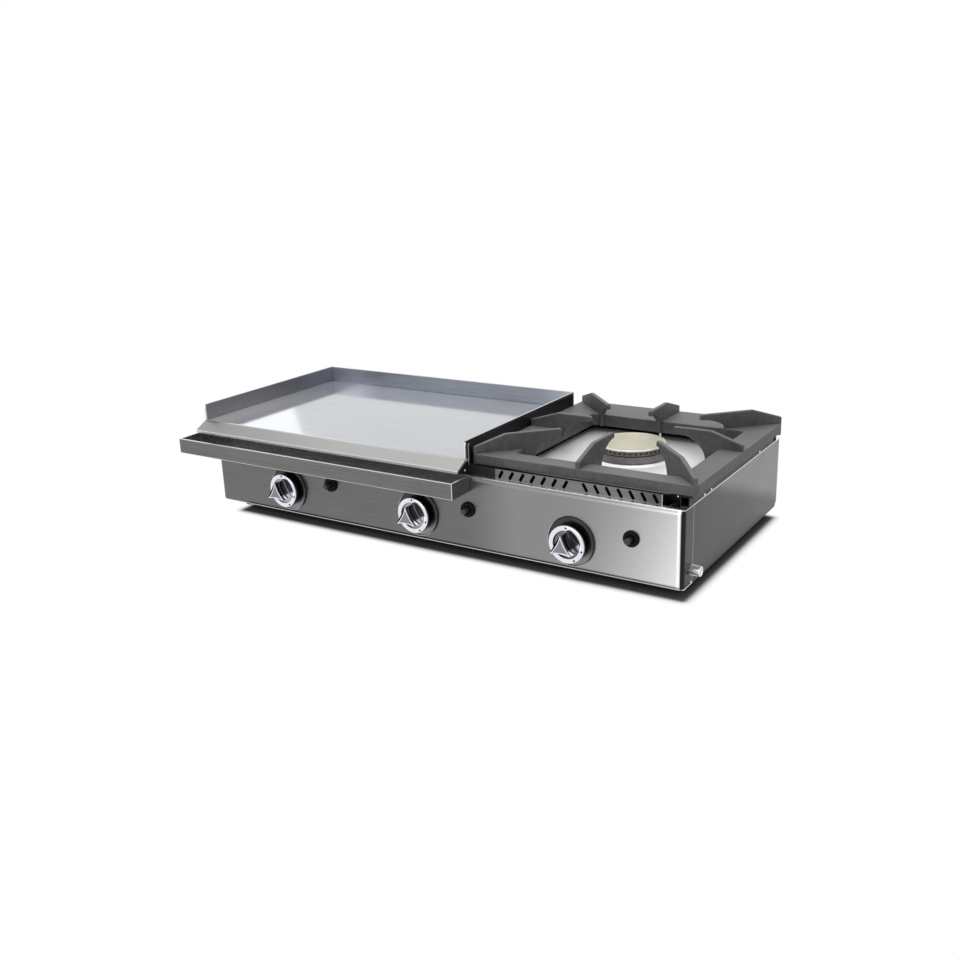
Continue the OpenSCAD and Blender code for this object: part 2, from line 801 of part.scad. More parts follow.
// Tubes of a griddle burner, thinned all round by t
module burner_tubes(t) {
    y_end = rear_wall_y - 6;
    for (s = [-1, 1]) {
        translate([s * leg_off, 0, leg_z]) y_rod(leg_r - t, cross_y, y_end - t);
        translate([s * leg_off, cross_y, leg_z]) sphere(r = leg_r - t);
    }
    translate([0, cross_y, leg_z]) x_rod(leg_r - t, -leg_off, leg_off);
    translate([0, cross_y, knob_z]) cylinder(r = venturi_r - t, h = leg_z - knob_z);
    translate([0, cross_y, knob_z]) sphere(r = venturi_r - t);
    translate([0, 0, knob_z]) y_rod(venturi_r - t, mouth_y - t, cross_y);
}

module griddle_burner(i) {
    ports = 8;
    run = rear_wall_y - cross_y;
    color(steel) placed() translate([knob_xs[i], 0, 0]) difference() {
        burner_tubes(0);
        burner_tubes(tube_t);
        for (s = [-1, 1], p = [1:ports]) translate([s * leg_off, cross_y + p * run / (ports + 1), leg_z])
            cylinder(r = port_r, h = leg_r + eps);
    }
}

module burner_support() {
    color(black) placed() {
        difference() {
            block([web_y, shield_x], [support_y, support_y + sheet_t], [base_z, leg_z - leg_r / 2]);
            for (i = [0, 1], s = [-1, 1]) translate([knob_xs[i] + s * leg_off, 0, leg_z])
                y_rod(leg_r, support_y - eps, support_y + sheet_t + eps);
        }
        block([web_y, shield_x], [support_y - flange_w, support_y], [base_z, base_z + sheet_t]);
    }
}

// Brass injector behind a tap
module injector() {
    difference() {
        union() {
            y_rod(5, tap_back, tap_back + injector_l / 2);
            y_rod(3, tap_back + injector_l / 2, tap_back + injector_l);
        }
        y_rod(0.8, tap_back - eps, tap_back + injector_l + eps);
    }
}

module injectors() {
    color(brass) placed() for (x = knob_xs) translate([x, 0, knob_z]) injector();
}

// Ceramic spark plug that points up: a body from below to above a sheet at z = 0, a flange and a wire
module spark(below, above, wire, bend) {
    translate([0, 0, -below]) cylinder(r = spark_r, h = below + above);
    translate([0, 0, -spark_flange]) cylinder(r = 2 * spark_r, h = spark_flange);
    translate([0, 0, above]) cylinder(r = wire_r, h = wire);
    translate([0, 0, above + wire]) sphere(r = wire_r);
    translate([0, 0, above + wire]) rotate([90, 0, 0]) cylinder(r = wire_r, h = bend);
}

module hob_electrode() {
    color(white) placed() translate([hob_x + hob_probe[0], hob_y + hob_probe[1], body_h])
        rotate(-atan(hob_probe[0] / hob_probe[1])) spark(hob_below, spark_above, 1.5 * spark_wire, spark_wire);
}

module griddle_electrodes() {
    color(white) placed() for (i = [0, 1])
        translate([knob_xs[i] + probe_dx, front_wall_y, electrode_z]) rotate([-90, 0, 0])
            spark(spark_below, spark_above, spark_wire, spark_wire / 2);
}

// Flame sensor that points up through a sheet at z = 0
module probe(below, above) {
    translate([0, 0, -below]) cylinder(r = spark_r, h = below + above);
    translate([0, 0, -spark_flange]) cylinder(r = 2 * spark_r, h = spark_flange);
    translate([0, 0, above]) cylinder(r = spark_r / 1.5, h = spark_wire / 2);
}

module thermocouples() {
    color(brass) placed() {
        for (i = [0, 1]) translate([knob_xs[i] - probe_dx, front_wall_y, electrode_z])
            rotate([-90, 0, 0]) probe(spark_below, spark_above);
        translate([hob_x - hob_probe[0], hob_y + hob_probe[1], body_h]) probe(hob_below, spark_above);
    }
}

// Controls

// Round head of a knob: band, disc, ring face and dished middle, along its depth from the panel
module knob_disc() {
    dish = knob_front - 4;
    rotate([90, 0, 0]) rotate_extrude() polygon([
        [0, knob_back], [knob_r - 3, knob_back], [knob_r - 3, knob_back + 2.5], [knob_r, knob_back + 2.5],
        [knob_r, knob_front - 2], [knob_r - 1, knob_front - 0.5], [knob_r - 6.5, knob_front],
        [knob_r - 8, dish], [0, dish]
    ]);
}

// Grip with three lobes, the first one up
module knob_grip() {
    dish = knob_front - 4;
    mid = (lobe_r + waist_r) / 2;
    swing = (lobe_r - waist_r) / 2;
    points = 72;
    translate([0, -dish, 0]) rotate([90, 0, 0]) linear_extrude(grip_front - dish) polygon([
        for (i = [0:points - 1]) let (a = 360 * i / points, r = mid + swing * cos(3 * (a - 90)))
            [r * cos(a), r * sin(a)]
    ]);
}

// Clock angles and distances of the raised dots on a knob
knob_dots = [[0, knob_r - 3.5], [0, knob_r - 9.5], [105, knob_r - 3.5], [150, knob_r - 3.5]];

module knob(i) {
    color(chrome) placed() translate([knob_xs[i], 0, knob_z]) difference() {
        union() {
            knob_disc();
            knob_grip();
            for (d = knob_dots) rotate([0, d[0], 0]) translate([0, 0, d[1]])
                y_rod(1, -knob_front - 0.4, -knob_back - 3);
        }
        y_rod(stem_r, -grip_front + 6, 0);
    }
}

module knob_bezels() {
    color(black) placed() for (x = knob_xs) translate([x, 0, knob_z]) rotate([90, 0, 0])
        rotate_extrude() polygon([
            [stem_r + 2, 0], [bezel_r, 0], [bezel_r, bezel_t - 1], [bezel_r - 1, bezel_t],
            [bezel_r - 3, bezel_t], [bezel_r - 4, bezel_t - 1], [stem_r + 2, bezel_t - 1]
        ]);
}

// Tap body on the manifold, open for its plug, its stem and the gas
module valve_body(i) {
    color(brass) placed() translate([knob_xs[i], 0, knob_z]) difference() {
        union() {
            y_rod(tap_r, tap_front, tap_back);
            block([-tap_r + 4, tap_r - 4], [pipe_y - 11, pipe_y + 11], [pipe_z - knob_z, 0]);
        }
        translate([0, pipe_y, pipe_z - knob_z]) x_rod(pipe_r, -tap_r, tap_r);
        translate([0, pipe_y, pipe_z - knob_z]) cylinder(r = 2, h = knob_z - pipe_z);
        y_rod(plug_r + fit_gap, tang_front, plug_back + fit_gap);
        y_rod(stem_r + fit_gap, tap_front - eps, tang_front + eps);
        y_rod(1.5, plug_back - eps, tap_back + eps);
    }
}

module valve_plug(i) {
    w = tang_w + 2 * slot_gap;
    t = tang_t + 2 * slot_gap;
    color(steel) placed() translate([knob_xs[i], 0, knob_z]) difference() {
        y_rod(plug_r, plug_front, plug_back);
        block([-w / 2, w / 2], [plug_front - eps, tang_front + tang_l + push_travel + 2], [-t / 2, t / 2]);
        translate([0, plug_front + 14, 0]) cylinder(r = 2, h = plug_r + eps);
        y_rod(1.5, plug_front + 13, plug_back + eps);
    }
}

module valve_stem(i) {
    color(steel) placed() translate([knob_xs[i], 0, knob_z]) {
        y_rod(stem_r, -grip_front + 6, tang_front);
        block([-tang_w / 2, tang_w / 2], [tang_front, tang_front + tang_l], [-tang_t / 2, tang_t / 2]);
    }
}

module igniter_body(i) {
    color(black) placed() translate([knob_xs[i] + igniter_dx, 0, igniter_z]) difference() {
        union() {
            rotate([90, 0, 0]) rotate_extrude() polygon([
                [0, 0], [igniter_r, 0], [igniter_r, igniter_t - 2], [igniter_r - 2, igniter_t], [0, igniter_t]
            ]);
            y_rod(barrel_r, 0, tag_y);
            y_rod(tag_r, tag_y, tag_y + tag_l);
        }
        y_rod(button_r + fit_gap, -igniter_t - eps, button_back + button_travel + 4);
    }
}

module igniter_button(i) {
    color(black) placed() translate([knob_xs[i] + igniter_dx, 0, igniter_z]) rotate([90, 0, 0])
        rotate_extrude() polygon([
            [0, -button_back], [button_r, -button_back], [button_r, button_front - 1], [button_r - 1, button_front],
            [0, button_front]
        ]);
}

// Gas

module gas_manifold() {
    x0 = knob_xs[0] - manifold_past;
    x1 = body_l + inlet_out;
    color(brass) placed() translate([0, pipe_y, pipe_z]) difference() {
        union() {
            x_rod(pipe_r, x0, body_l);
            x_rod(thread_r, body_l, x1);
        }
        x_rod(pipe_bore, x0 + 3, x1 + eps);
        for (x = knob_xs) translate([x, 0, 0]) cylinder(r = 2, h = pipe_r + eps);
    }
}

module inlet_locknut() {
    nut_h = 7;
    color(brass) placed() translate([0, pipe_y, pipe_z]) difference() {
        translate([body_l - sheet_t - nut_h, 0, 0]) rotate([0, 90, 0])
            cylinder(r = pipe_r + 5, h = nut_h, $fn = 6);
        x_rod(pipe_r, body_l - sheet_t - nut_h - eps, body_l);
    }
}

// Ignition leads, each through points chosen by hand

tag_end = tag_y + tag_l;
plug_y = front_wall_y - spark_below;
griddle_lead = [
    [igniter_dx, tag_end, 0], [igniter_dx, tag_end + 8, 0], [60, 60, 24],
    [probe_dx, plug_y - 4, electrode_z - igniter_z], [probe_dx, plug_y, electrode_z - igniter_z]
];
hob_lead = [
    [igniter_dx, tag_end, 0], [igniter_dx, 110, -12], [40, 250, -12],
    [hob_probe[0], hob_y + hob_probe[1], -12],
    [hob_probe[0], hob_y + hob_probe[1], body_h - hob_below - igniter_z]
];

// A vector of length 1 along v
function unit(v) = v / norm(v);

// Direction of a route at its point i, halfway between the runs before and after it
function heading(p, i) = unit(
    (i > 0 ? unit(p[i] - p[i - 1]) : [0, 0, 0]) + (i < len(p) - 1 ? unit(p[i + 1] - p[i]) : [0, 0, 0])
);

// A direction square to the route at its point i, carried along without twist
function side_dir(p, i) = i == 0 ? unit(cross(heading(p, 0), [1, 0.3, 0.2]))
    : let (d = heading(p, i), u = side_dir(p, i - 1)) unit(u - d * (u * d));

// Round lead along the points p
module lead(p) {
    sides = 8;
    last = len(p) - 1;
    rings = [for (i = [0:last], k = [0:sides - 1])
        let (u = side_dir(p, i), v = cross(heading(p, i), u), a = 360 * k / sides)
            p[i] + lead_r * (u * cos(a) + v * sin(a))];
    walls = [for (i = [0:last - 1], k = [0:sides - 1])
        let (m = (k + 1) % sides) [i * sides + k, (i + 1) * sides + k, (i + 1) * sides + m, i * sides + m]];
    start = [for (k = [0:sides - 1]) k];
    finish = [for (k = [sides - 1:-1:0]) last * sides + k];
    polyhedron(rings, concat(walls, [start, finish]));
}

module ignition_leads() {
    color([0.55, 0.12, 0.1]) placed() {
        for (i = [0, 1]) translate([knob_xs[i], 0, igniter_z]) lead(griddle_lead);
        translate([hob_x, 0, igniter_z]) lead(hob_lead);
    }
}

// Fasteners: feet, rails, gusset, tab and panels

module fasteners() {
    head = foot_h / 2;
    color(chrome) placed() {
        for (x = foot_xs, y = foot_ys) translate([x, y, 0]) {
            translate([0, 0, -head]) cylinder(r = foot_screw_r, h = head + base_z);
            translate([0, 0, -head - 3]) cylinder(r = foot_screw_r * 1.8, h = 3);
            translate([0, 0, base_z]) cylinder(r = foot_screw_r * 1.8, h = 3, $fn = 6);
        }
        for (f = [0.15, 0.22, 0.78]) translate([body_l, trivet_y0 + f * trivet_d, body_h + rivet_r + 1])
            rotate([0, 90, 0]) dome(rivet_r);
        translate([griddle_x1 - sheet_t, bend_y, body_h + 4 * rivet_r]) rotate([0, 90, 0]) dome(rivet_r);
        translate([strip_x1 + tab_in, seam_y, body_h + 8]) rotate([90, 0, 0]) dome(screw_r);
        translate([body_l, pipe_y + 1, pipe_z / 5]) rotate([0, 90, 0]) dome(rivet_r);
        for (x = [1:5]) translate([x * divider_x / 6, inner_y - screw_r, body_h + sheet_t]) dome(screw_r);
    }
}

front_panel();
left_side_panel();
right_side_panel();
rear_panel();
base_plate();
rubber_feet();
griddle_plate();
left_guard();
rear_guard();
right_guard();
heat_shield();
griddle_front_rail();
firebox_left_wall();
firebox_rear_wall();
firebox_front_wall();
divider_wall();
rear_vent_cover();
burner_support();
drip_gutter();
slotted_strip();
hob_tray();
hob_tray_rail();
hob_right_rail();
hob_rear_rail();
trivet_frame();
trivet_fingers();
burner_base();
burner_ring();
burner_crown();
burner_cap();
griddle_burner(0);  // griddle_burner_1
griddle_burner(1);  // griddle_burner_2
injectors();
hob_electrode();
griddle_electrodes();
thermocouples();
ignition_leads();
gas_manifold();
inlet_locknut();
valve_body(0);  // valve_body_1
valve_body(1);  // valve_body_2
valve_body(2);  // valve_body_3
valve_plug(0);  // valve_plug_1
valve_plug(1);  // valve_plug_2
valve_plug(2);  // valve_plug_3
valve_stem(0);  // valve_stem_1
valve_stem(1);  // valve_stem_2
valve_stem(2);  // valve_stem_3
knob(0);  // knob_1
knob(1);  // knob_2
knob(2);  // knob_3
igniter_body(0);  // igniter_body_1
igniter_body(1);  // igniter_body_2
igniter_body(2);  // igniter_body_3
igniter_button(0);  // igniter_button_1
igniter_button(1);  // igniter_button_2
igniter_button(2);  // igniter_button_3
knob_bezels();
fasteners();
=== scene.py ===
from math import atan2, cos, hypot, pi, radians, sin

import bmesh
import bpy
from mathutils import Matrix, Vector


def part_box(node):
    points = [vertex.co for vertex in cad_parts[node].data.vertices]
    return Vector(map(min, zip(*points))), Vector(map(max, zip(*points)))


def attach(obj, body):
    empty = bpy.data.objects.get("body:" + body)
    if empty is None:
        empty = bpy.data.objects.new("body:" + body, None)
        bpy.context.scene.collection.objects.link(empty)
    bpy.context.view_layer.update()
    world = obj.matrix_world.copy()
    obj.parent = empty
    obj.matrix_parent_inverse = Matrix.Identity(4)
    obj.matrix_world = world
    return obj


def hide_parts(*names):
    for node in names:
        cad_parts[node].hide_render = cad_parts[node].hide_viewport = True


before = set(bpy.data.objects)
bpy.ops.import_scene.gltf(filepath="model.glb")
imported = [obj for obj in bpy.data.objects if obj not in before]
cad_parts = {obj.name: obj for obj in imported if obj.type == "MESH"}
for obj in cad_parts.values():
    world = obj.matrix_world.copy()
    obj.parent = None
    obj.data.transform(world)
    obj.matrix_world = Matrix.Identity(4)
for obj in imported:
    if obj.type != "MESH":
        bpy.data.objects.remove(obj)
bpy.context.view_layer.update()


# The studio: a pale floor, soft lamps and a camera at the photograph's angle.
# A white sheet runs under the appliance and keeps its shadow; close round the footprint its colour also darkens as a
# painted shadow. It is no part of the appliance.

class Wire:
    """One output of a node tree. Arithmetic on it adds Math nodes."""

    def __init__(self, tree, socket):
        self.tree = tree
        self.socket = socket

    def math(self, operation, first, second):
        return self.tree.add("ShaderNodeMath", {"operation": operation}, {0: first, 1: second})

    def __add__(self, other):
        return self.math("ADD", self, other)

    def __radd__(self, other):
        return self.math("ADD", other, self)

    def __sub__(self, other):
        return self.math("SUBTRACT", self, other)

    def __rsub__(self, other):
        return self.math("SUBTRACT", other, self)

    def __mul__(self, other):
        return self.math("MULTIPLY", self, other)

    def __rmul__(self, other):
        return self.math("MULTIPLY", other, self)

    def __pow__(self, other):
        return self.math("POWER", self, other)

    def over(self, low, high, kind="SMOOTHSTEP"):
        """Goes from 0 at low to 1 at high, smoothly or in a straight line."""
        inputs = {0: self, 1: low, 2: high, 3: 0.0, 4: 1.0}
        return self.tree.add("ShaderNodeMapRange", {"interpolation_type": kind}, inputs)

    def band(self, low, high, soft):
        """Is 1 between low and high and fades out beside them."""
        return self.over(low - soft, low) * (1.0 - self.over(high, high + soft))


class Nodes:
    """A node tree, with one method that adds any node."""

    def __init__(self, owner):
        owner.use_nodes = True
        self.tree = owner.node_tree

    def add(self, kind, settings=None, inputs=None, out=0):
        node = self.tree.nodes.new(kind)
        for name, value in (settings or {}).items():
            setattr(node, name, value)
        self.feed(node, inputs or {})
        return Wire(self, node.outputs[out]) if node.outputs else None

    def feed(self, node, inputs):
        for name, value in inputs.items():
            if isinstance(value, Wire):
                self.tree.links.new(value.socket, node.inputs[name])
            else:
                node.inputs[name].default_value = value

    def mix(self, factor, first, second):
        """Mixes two colours."""
        settings = {"data_type": "RGBA", "clamp_factor": True}
        inputs = {0: factor, 6: rgba(first), 7: rgba(second)}
        return self.add("ShaderNodeMix", settings, inputs, out=2)

    def bump(self, strength, depth, height):
        """Turns a pattern into small relief."""
        return self.add("ShaderNodeBump", inputs={"Strength": strength, "Distance": depth, "Height": height})


def rgba(colour):
    return colour if isinstance(colour, Wire) else (*colour, 1.0)


floor_side = 14.0
floor_bm = bmesh.new()
bmesh.ops.create_grid(floor_bm, x_segments=1, y_segments=1, size=floor_side / 2)
floor_mesh = bpy.data.meshes.new("floor")
floor_bm.to_mesh(floor_mesh)
floor_bm.free()
floor = bpy.data.objects.new("floor", floor_mesh)
bpy.context.collection.objects.link(floor)


def shown(nodes):
    """Is 1 for what the camera sees, also in a mirror or through glass, and 0 for the light on the floor."""
    kinds = [nodes.add("ShaderNodeLightPath", out=i) for i in (0, 3, 6)]
    return (kinds[0] + kinds[1] + kinds[2]).over(0.0, 1.0, "LINEAR")


def axes_of(nodes, place):
    return [nodes.add("ShaderNodeSeparateXYZ", inputs={"Vector": place}, out=i) for i in range(3)]


floor_paper = bpy.data.materials.new("floor_paper")
paper = Nodes(floor_paper)
paper.tree.nodes.clear()
shadow_middle = (0.044, 0.0085, 0.0)
shadow_half = (0.454, 0.205, 9.0)
spot = paper.add("ShaderNodeTexCoord", out=3)
spot = paper.add("ShaderNodeVectorMath", {"operation": "SUBTRACT"}, {0: spot, 1: shadow_middle})
spot = paper.add("ShaderNodeVectorMath", {"operation": "ABSOLUTE"}, {0: spot})
spot = paper.add("ShaderNodeVectorMath", {"operation": "SUBTRACT"}, {0: spot, 1: shadow_half})
spot = paper.add("ShaderNodeVectorMath", {"operation": "MAXIMUM"}, {0: spot, 1: (0.0, 0.0, 0.0)})
away = paper.add("ShaderNodeVectorMath", {"operation": "LENGTH"}, {0: spot}, out=1)
# Painted shadow: the paper's colour turns near black within a few centimetres of the appliance's footprint.
paper_with_painted_shadow = paper.mix(away.over(0.001, 0.016), (0.09, 0.09, 0.09), (0.9, 0.9, 0.9))
lit = paper.add("ShaderNodeBsdfDiffuse", inputs={"Color": paper_with_painted_shadow})
glow = paper.add("ShaderNodeEmission", inputs={"Color": (1.0, 1.0, 1.0, 1.0), "Strength": 1.0})
sheet = paper.add("ShaderNodeMixShader", inputs={0: shown(paper) * away.over(0.004, 0.024), 1: lit, 2: glow})
paper.add("ShaderNodeOutputMaterial", inputs={"Surface": sheet})
floor_mesh.materials.append(floor_paper)

world = bpy.context.scene.world or bpy.data.worlds.new("studio")
bpy.context.scene.world = world
sky = Nodes(world)
sky.tree.nodes.clear()
room = sky.add("ShaderNodeBackground", inputs={"Color": (0.95, 0.97, 1.0, 1.0), "Strength": 0.7})
white = sky.add("ShaderNodeBackground", inputs={"Color": (1.0, 1.0, 1.0, 1.0), "Strength": 1.0})
both = sky.add("ShaderNodeMixShader", inputs={0: shown(sky), 1: room, 2: white})
sky.add("ShaderNodeOutputWorld", inputs={"Surface": both})


def lamp(name, place, width, height, watts):
    """A rectangular soft box at a place, aimed at the middle of the appliance."""
    light = bpy.data.lights.new(name, "AREA")
    light.shape = "RECTANGLE"
    light.size = width
    light.size_y = height
    light.energy = watts
    holder = bpy.data.objects.new(name, light)
    holder.location = place
    holder.rotation_euler = (Vector((0.0, 0.0, 0.1)) - Vector(place)).to_track_quat("-Z", "Y").to_euler()
    bpy.context.collection.objects.link(holder)


lamp("soft_box_top", (0.2, 0.3, 2.2), 2.4, 1.6, 14)
lamp("soft_box_front", (0.2, -2.4, 1.3), 2.4, 1.7, 10)
lamp("soft_box_left", (-2.2, 0.6, 1.2), 2.3, 1.6, 8)

camera_data = bpy.data.cameras.new("camera")
camera_data.lens = 40.06
camera_data.sensor_width = 36.0
camera = bpy.data.objects.new("camera", camera_data)
camera_place = Vector((1.0608, -1.6064, 0.6826))
camera_right = Vector((0.84264, 0.53735, -0.03479))
camera_ahead = Vector((-0.52075, 0.79676, -0.30659))
camera_up = camera_right.cross(camera_ahead)
turn = Matrix((camera_right, camera_up, -camera_ahead)).transposed()
camera.matrix_world = Matrix.Translation(camera_place) @ turn.to_4x4()
bpy.context.collection.objects.link(camera)
bpy.context.scene.camera = camera
bpy.context.scene.view_settings.view_transform = "Standard"


# Front panel: one stainless sheet, folded back along its top and bottom and bent round both
# front corners. It is spot-welded to the side panels behind a thin upright seam.

def block(low, high):
    """A solid box between two corners."""
    bm = bmesh.new()
    bmesh.ops.create_cube(bm, size=1.0)
    size = [h - l for l, h in zip(low, high)]
    bmesh.ops.scale(bm, vec=size, verts=bm.verts)
    bmesh.ops.translate(bm, vec=[(h + l) / 2 for l, h in zip(low, high)], verts=bm.verts)
    return bm


def slice_at(bm, place, normal, clear=False):
    """Cuts the mesh along a plane and can drop what lies in front of it."""
    parts = bm.verts[:] + bm.edges[:] + bm.faces[:]
    bmesh.ops.bisect_plane(bm, geom=parts, plane_co=place, plane_no=normal, clear_outer=clear, dist=1e-6)


def drop(bm, test):
    """Deletes the faces whose middle passes the test."""
    faces = [f for f in bm.faces if test(f.calc_center_median())]
    bmesh.ops.delete(bm, geom=faces, context="FACES")


def fold(bm, test, radius, segments=4):
    """Rounds the edges whose two ends both pass the test."""
    edges = [e for e in bm.edges if all(test(v.co) for v in e.verts)]
    bmesh.ops.bevel(bm, geom=edges, offset=radius, segments=segments, profile=0.5, affect="EDGES", material=-1)


def near(a, b):
    return abs(a - b) < 1e-5


def piece(name, bm, body, finish, hides=(), wall=None, edge=None, smooth=40.0):
    """Makes an object of a mesh, gives a sheet its thickness and edges their rounding, and fixes it to a body."""
    mesh = bpy.data.meshes.new(name)
    bm.to_mesh(mesh)
    bm.free()
    mesh.materials.append(finish)
    mesh.shade_smooth()
    mesh.set_sharp_from_angle(angle=radians(smooth))
    made = bpy.data.objects.new(name, mesh)
    bpy.context.collection.objects.link(made)
    if wall:
        thick = made.modifiers.new("sheet", "SOLIDIFY")
        thick.thickness = wall
        thick.offset = -1.0
        thick.use_even_offset = True
    if edge:
        soft = made.modifiers.new("edge", "BEVEL")
        soft.width = edge
        soft.segments = 3
        soft.limit_method = "ANGLE"
        soft.angle_limit = radians(38.0)
    if edge or wall:
        flat = made.modifiers.new("flat", "WEIGHTED_NORMAL")
        flat.keep_sharp = True
    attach(made, body)
    if hides:
        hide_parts(*hides)
    return made


def dress(finish, *nodes):
    """Gives CAD nodes that keep their own shape a finish."""
    for name in nodes:
        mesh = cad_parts[name].data
        mesh.materials.clear()
        mesh.materials.append(finish)


def surface(name, metallic, coat=0.0):
    """A new material: its nodes, its shader, and the place on the piece that patterns read."""
    material = bpy.data.materials.new(name)
    nodes = Nodes(material)
    shader = nodes.tree.nodes["Principled BSDF"]
    shader.inputs["Metallic"].default_value = metallic
    shader.inputs["Coat Weight"].default_value = coat
    place = nodes.add("ShaderNodeTexCoord", out=3)
    return material, nodes, shader, place


def cloud(nodes, place, scale, detail=3.0, seed=(0.0, 0.0, 0.0)):
    """Soft noise from 0 to 1, its grain set by how finely each axis is scaled."""
    spread = nodes.add("ShaderNodeMapping", inputs={"Vector": place, "Location": seed, "Scale": scale})
    return nodes.add("ShaderNodeTexNoise", inputs={"Vector": spread, "Scale": 1.0, "Detail": detail})


def brushed(name, dark, light, rough, grain, streak=0.08, depth=0.00002, tones=None, metallic=1.0):
    """Rolled sheet, brushed along one axis, with faint clouds from handling. Tones are pairs of a colour
    and where it lies, laid over each other."""
    material, nodes, shader, place = surface(name, metallic)
    lines = cloud(nodes, place, grain, 2.0)
    hairs = cloud(nodes, place, tuple(3.1 * g for g in grain), 2.0, (3.0, 1.0, 2.0))
    wipes = cloud(nodes, place, (9.0, 13.0, 17.0), 4.0, (1.0, 5.0, 2.0))
    tone = lines * 0.55 + hairs * 0.25 + wipes * 0.2
    colour = nodes.mix(tone.over(0.25, 0.75), dark, light)
    axes = axes_of(nodes, place)
    for over_colour, where in tones or ():
        colour = nodes.mix(where(*axes), colour, over_colour)
    nodes.feed(shader, {
        "Base Color": colour,
        "Roughness": rough + (lines - 0.5) * streak + (wipes - 0.5) * 0.16,
        "Normal": nodes.bump(0.35, depth, lines + hairs * 0.5),
    })
    return material


rolled = (14.0, 900.0, 900.0)
flange = 0.013
gauge = 0.0015
corner_r = 0.009
fold_r = 0.001
low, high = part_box("front_panel")
stainless = brushed("brushed_sheet", (0.44, 0.44, 0.445), (0.62, 0.62, 0.62), 0.3, rolled)
turn_x = high[0] - corner_r
# A small dark disc painted below the inlet, painted shade in place of a hole that the sheet doesn't have: its place
# in y and z, and the square of its radius in millimetres.
hole, dark_spot_mm2 = (-0.1615, 0.024), 4.4
# The front sheet is a darker copy of the stainless, painted shade, with painted light on it: lighter towards the
# right and much brighter towards the bottom right as painted reflection, near black painted shade on the return
# beyond the corner, painted highlight lines along the corner bend, along the return's rear edge at the seam and along
# the top and bottom folds, and a small dark painted spot below the inlet.
front_steel_painted_light = brushed("front_sheet", (0.13, 0.13, 0.131), (0.185, 0.185, 0.185), 0.28, rolled, tones=(
    ((0.26, 0.26, 0.26), lambda x, y, z: x.over(0.10, 0.22)),
    ((0.92, 0.92, 0.92), lambda x, y, z: (x - (z - 0.06) * 0.35).over(0.24, 0.525, "LINEAR") ** 2.35),
    ((0.022, 0.022, 0.023), lambda x, y, z: x.over(turn_x + 0.003, turn_x + 0.0045)),
    ((0.2, 0.2, 0.2), lambda x, y, z: y.over(high[1] - 0.003, high[1] - 0.002)),
    ((1.0, 1.0, 1.0), lambda x, y, z: x.band(turn_x - 0.001, turn_x + 0.002, 0.001)),
    ((0.85, 0.85, 0.85), lambda x, y, z: z.over(high[2] - 0.0012, high[2] - 0.0006)),
    ((0.9, 0.9, 0.9), lambda x, y, z: z.band(low[2] + 0.0010, low[2] + 0.0024, 0.0005)),
    ((0.004, 0.004, 0.004), lambda x, y, z: 1.0 - (
        ((y - hole[0]) * 1000.0) ** 2.0 + ((z - hole[1]) * 1000.0) ** 2.0).over(dark_spot_mm2 * 0.8, dark_spot_mm2)),
))
front_sheet = block(low, high)
drop(front_sheet, lambda c: near(c.y, high[1]))
fold(front_sheet, lambda v: near(v.y, low[1]) and (near(v.x, low[0]) or near(v.x, high[0])), corner_r, 8)
inner_x = (low[0] + flange, high[0] - flange)
for x in inner_x:
    slice_at(front_sheet, (x, 0.0, 0.0), (1.0, 0.0, 0.0))
slice_at(front_sheet, (0.0, low[1] + flange, 0.0), (0.0, 1.0, 0.0))
drop(front_sheet, lambda c: inner_x[0] < c.x < inner_x[1] and c.y > low[1] + flange
     and (near(c.z, low[2]) or near(c.z, high[2])))


def outer_fold(bm, radius):
    """Rounds the edges between upright walls and level flanges."""
    edges = [e for e in bm.edges if len(e.link_faces) == 2
             and abs(abs(e.link_faces[0].normal.z) - abs(e.link_faces[1].normal.z)) > 0.9]
    bmesh.ops.bevel(bm, geom=edges, offset=radius, segments=4, profile=0.5, affect="EDGES", material=-1)


outer_fold(front_sheet, fold_r)
piece("front_panel_sheet", front_sheet, "base", front_steel_painted_light, ["front_panel"], wall=gauge, edge=0.0003)


# Side panels: two mirrored stainless sheets with folded flanges, cut off low at the back.
# Each one meets the front panel's return at the upright seam.

side_grain = (900.0, 14.0, 900.0)
side_top = high[2]
# The right side panel takes a much darker copy of the stainless as painted shade. It is lighter towards its top and
# rear as painted light, with a painted highlight line along its top fold. The left panel takes its own plain, lighter
# copy.
shaded_side_steel = brushed("brushed_side_painted_shade", (0.021, 0.021, 0.022), (0.036, 0.036, 0.036), 0.3, side_grain, tones=(
    ((0.17, 0.173, 0.18), lambda x, y, z: (z + y * 0.36).over(0.104, 0.138)),
    ((0.85, 0.85, 0.85), lambda x, y, z: z.over(side_top - 0.0016, side_top - 0.0010)),
))
left_steel = brushed("brushed_left_side", (0.26, 0.26, 0.262), (0.38, 0.38, 0.382), 0.3, side_grain)
corner_cut = 0.010
for side in ("left", "right"):
    node = f"{side}_side_panel"
    low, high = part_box(node)
    inner = high[0] if side == "left" else low[0]
    sheet = block(low, high)
    drop(sheet, lambda c: near(c.x, inner) or near(c.y, low[1]) or near(c.y, high[1]))
    outer_fold(sheet, fold_r)
    slice_at(sheet, (0.0, high[1] - corner_cut, low[2]), (0.0, 1.0, -1.0), clear=True)
    finish = left_steel if side == "left" else shaded_side_steel
    piece(f"{node}_sheet", sheet, "base", finish, [node], wall=gauge, edge=0.0003)


# Rear panel, base plate and rear vent cover: plain stainless sheets with slots for cooling air.
# They are riveted to the flanges of the panels round them.

dress(stainless, "rear_panel", "base_plate", "rear_vent_cover")


# Feet: four low round rubber feet, each held by a screw in a recess from below.

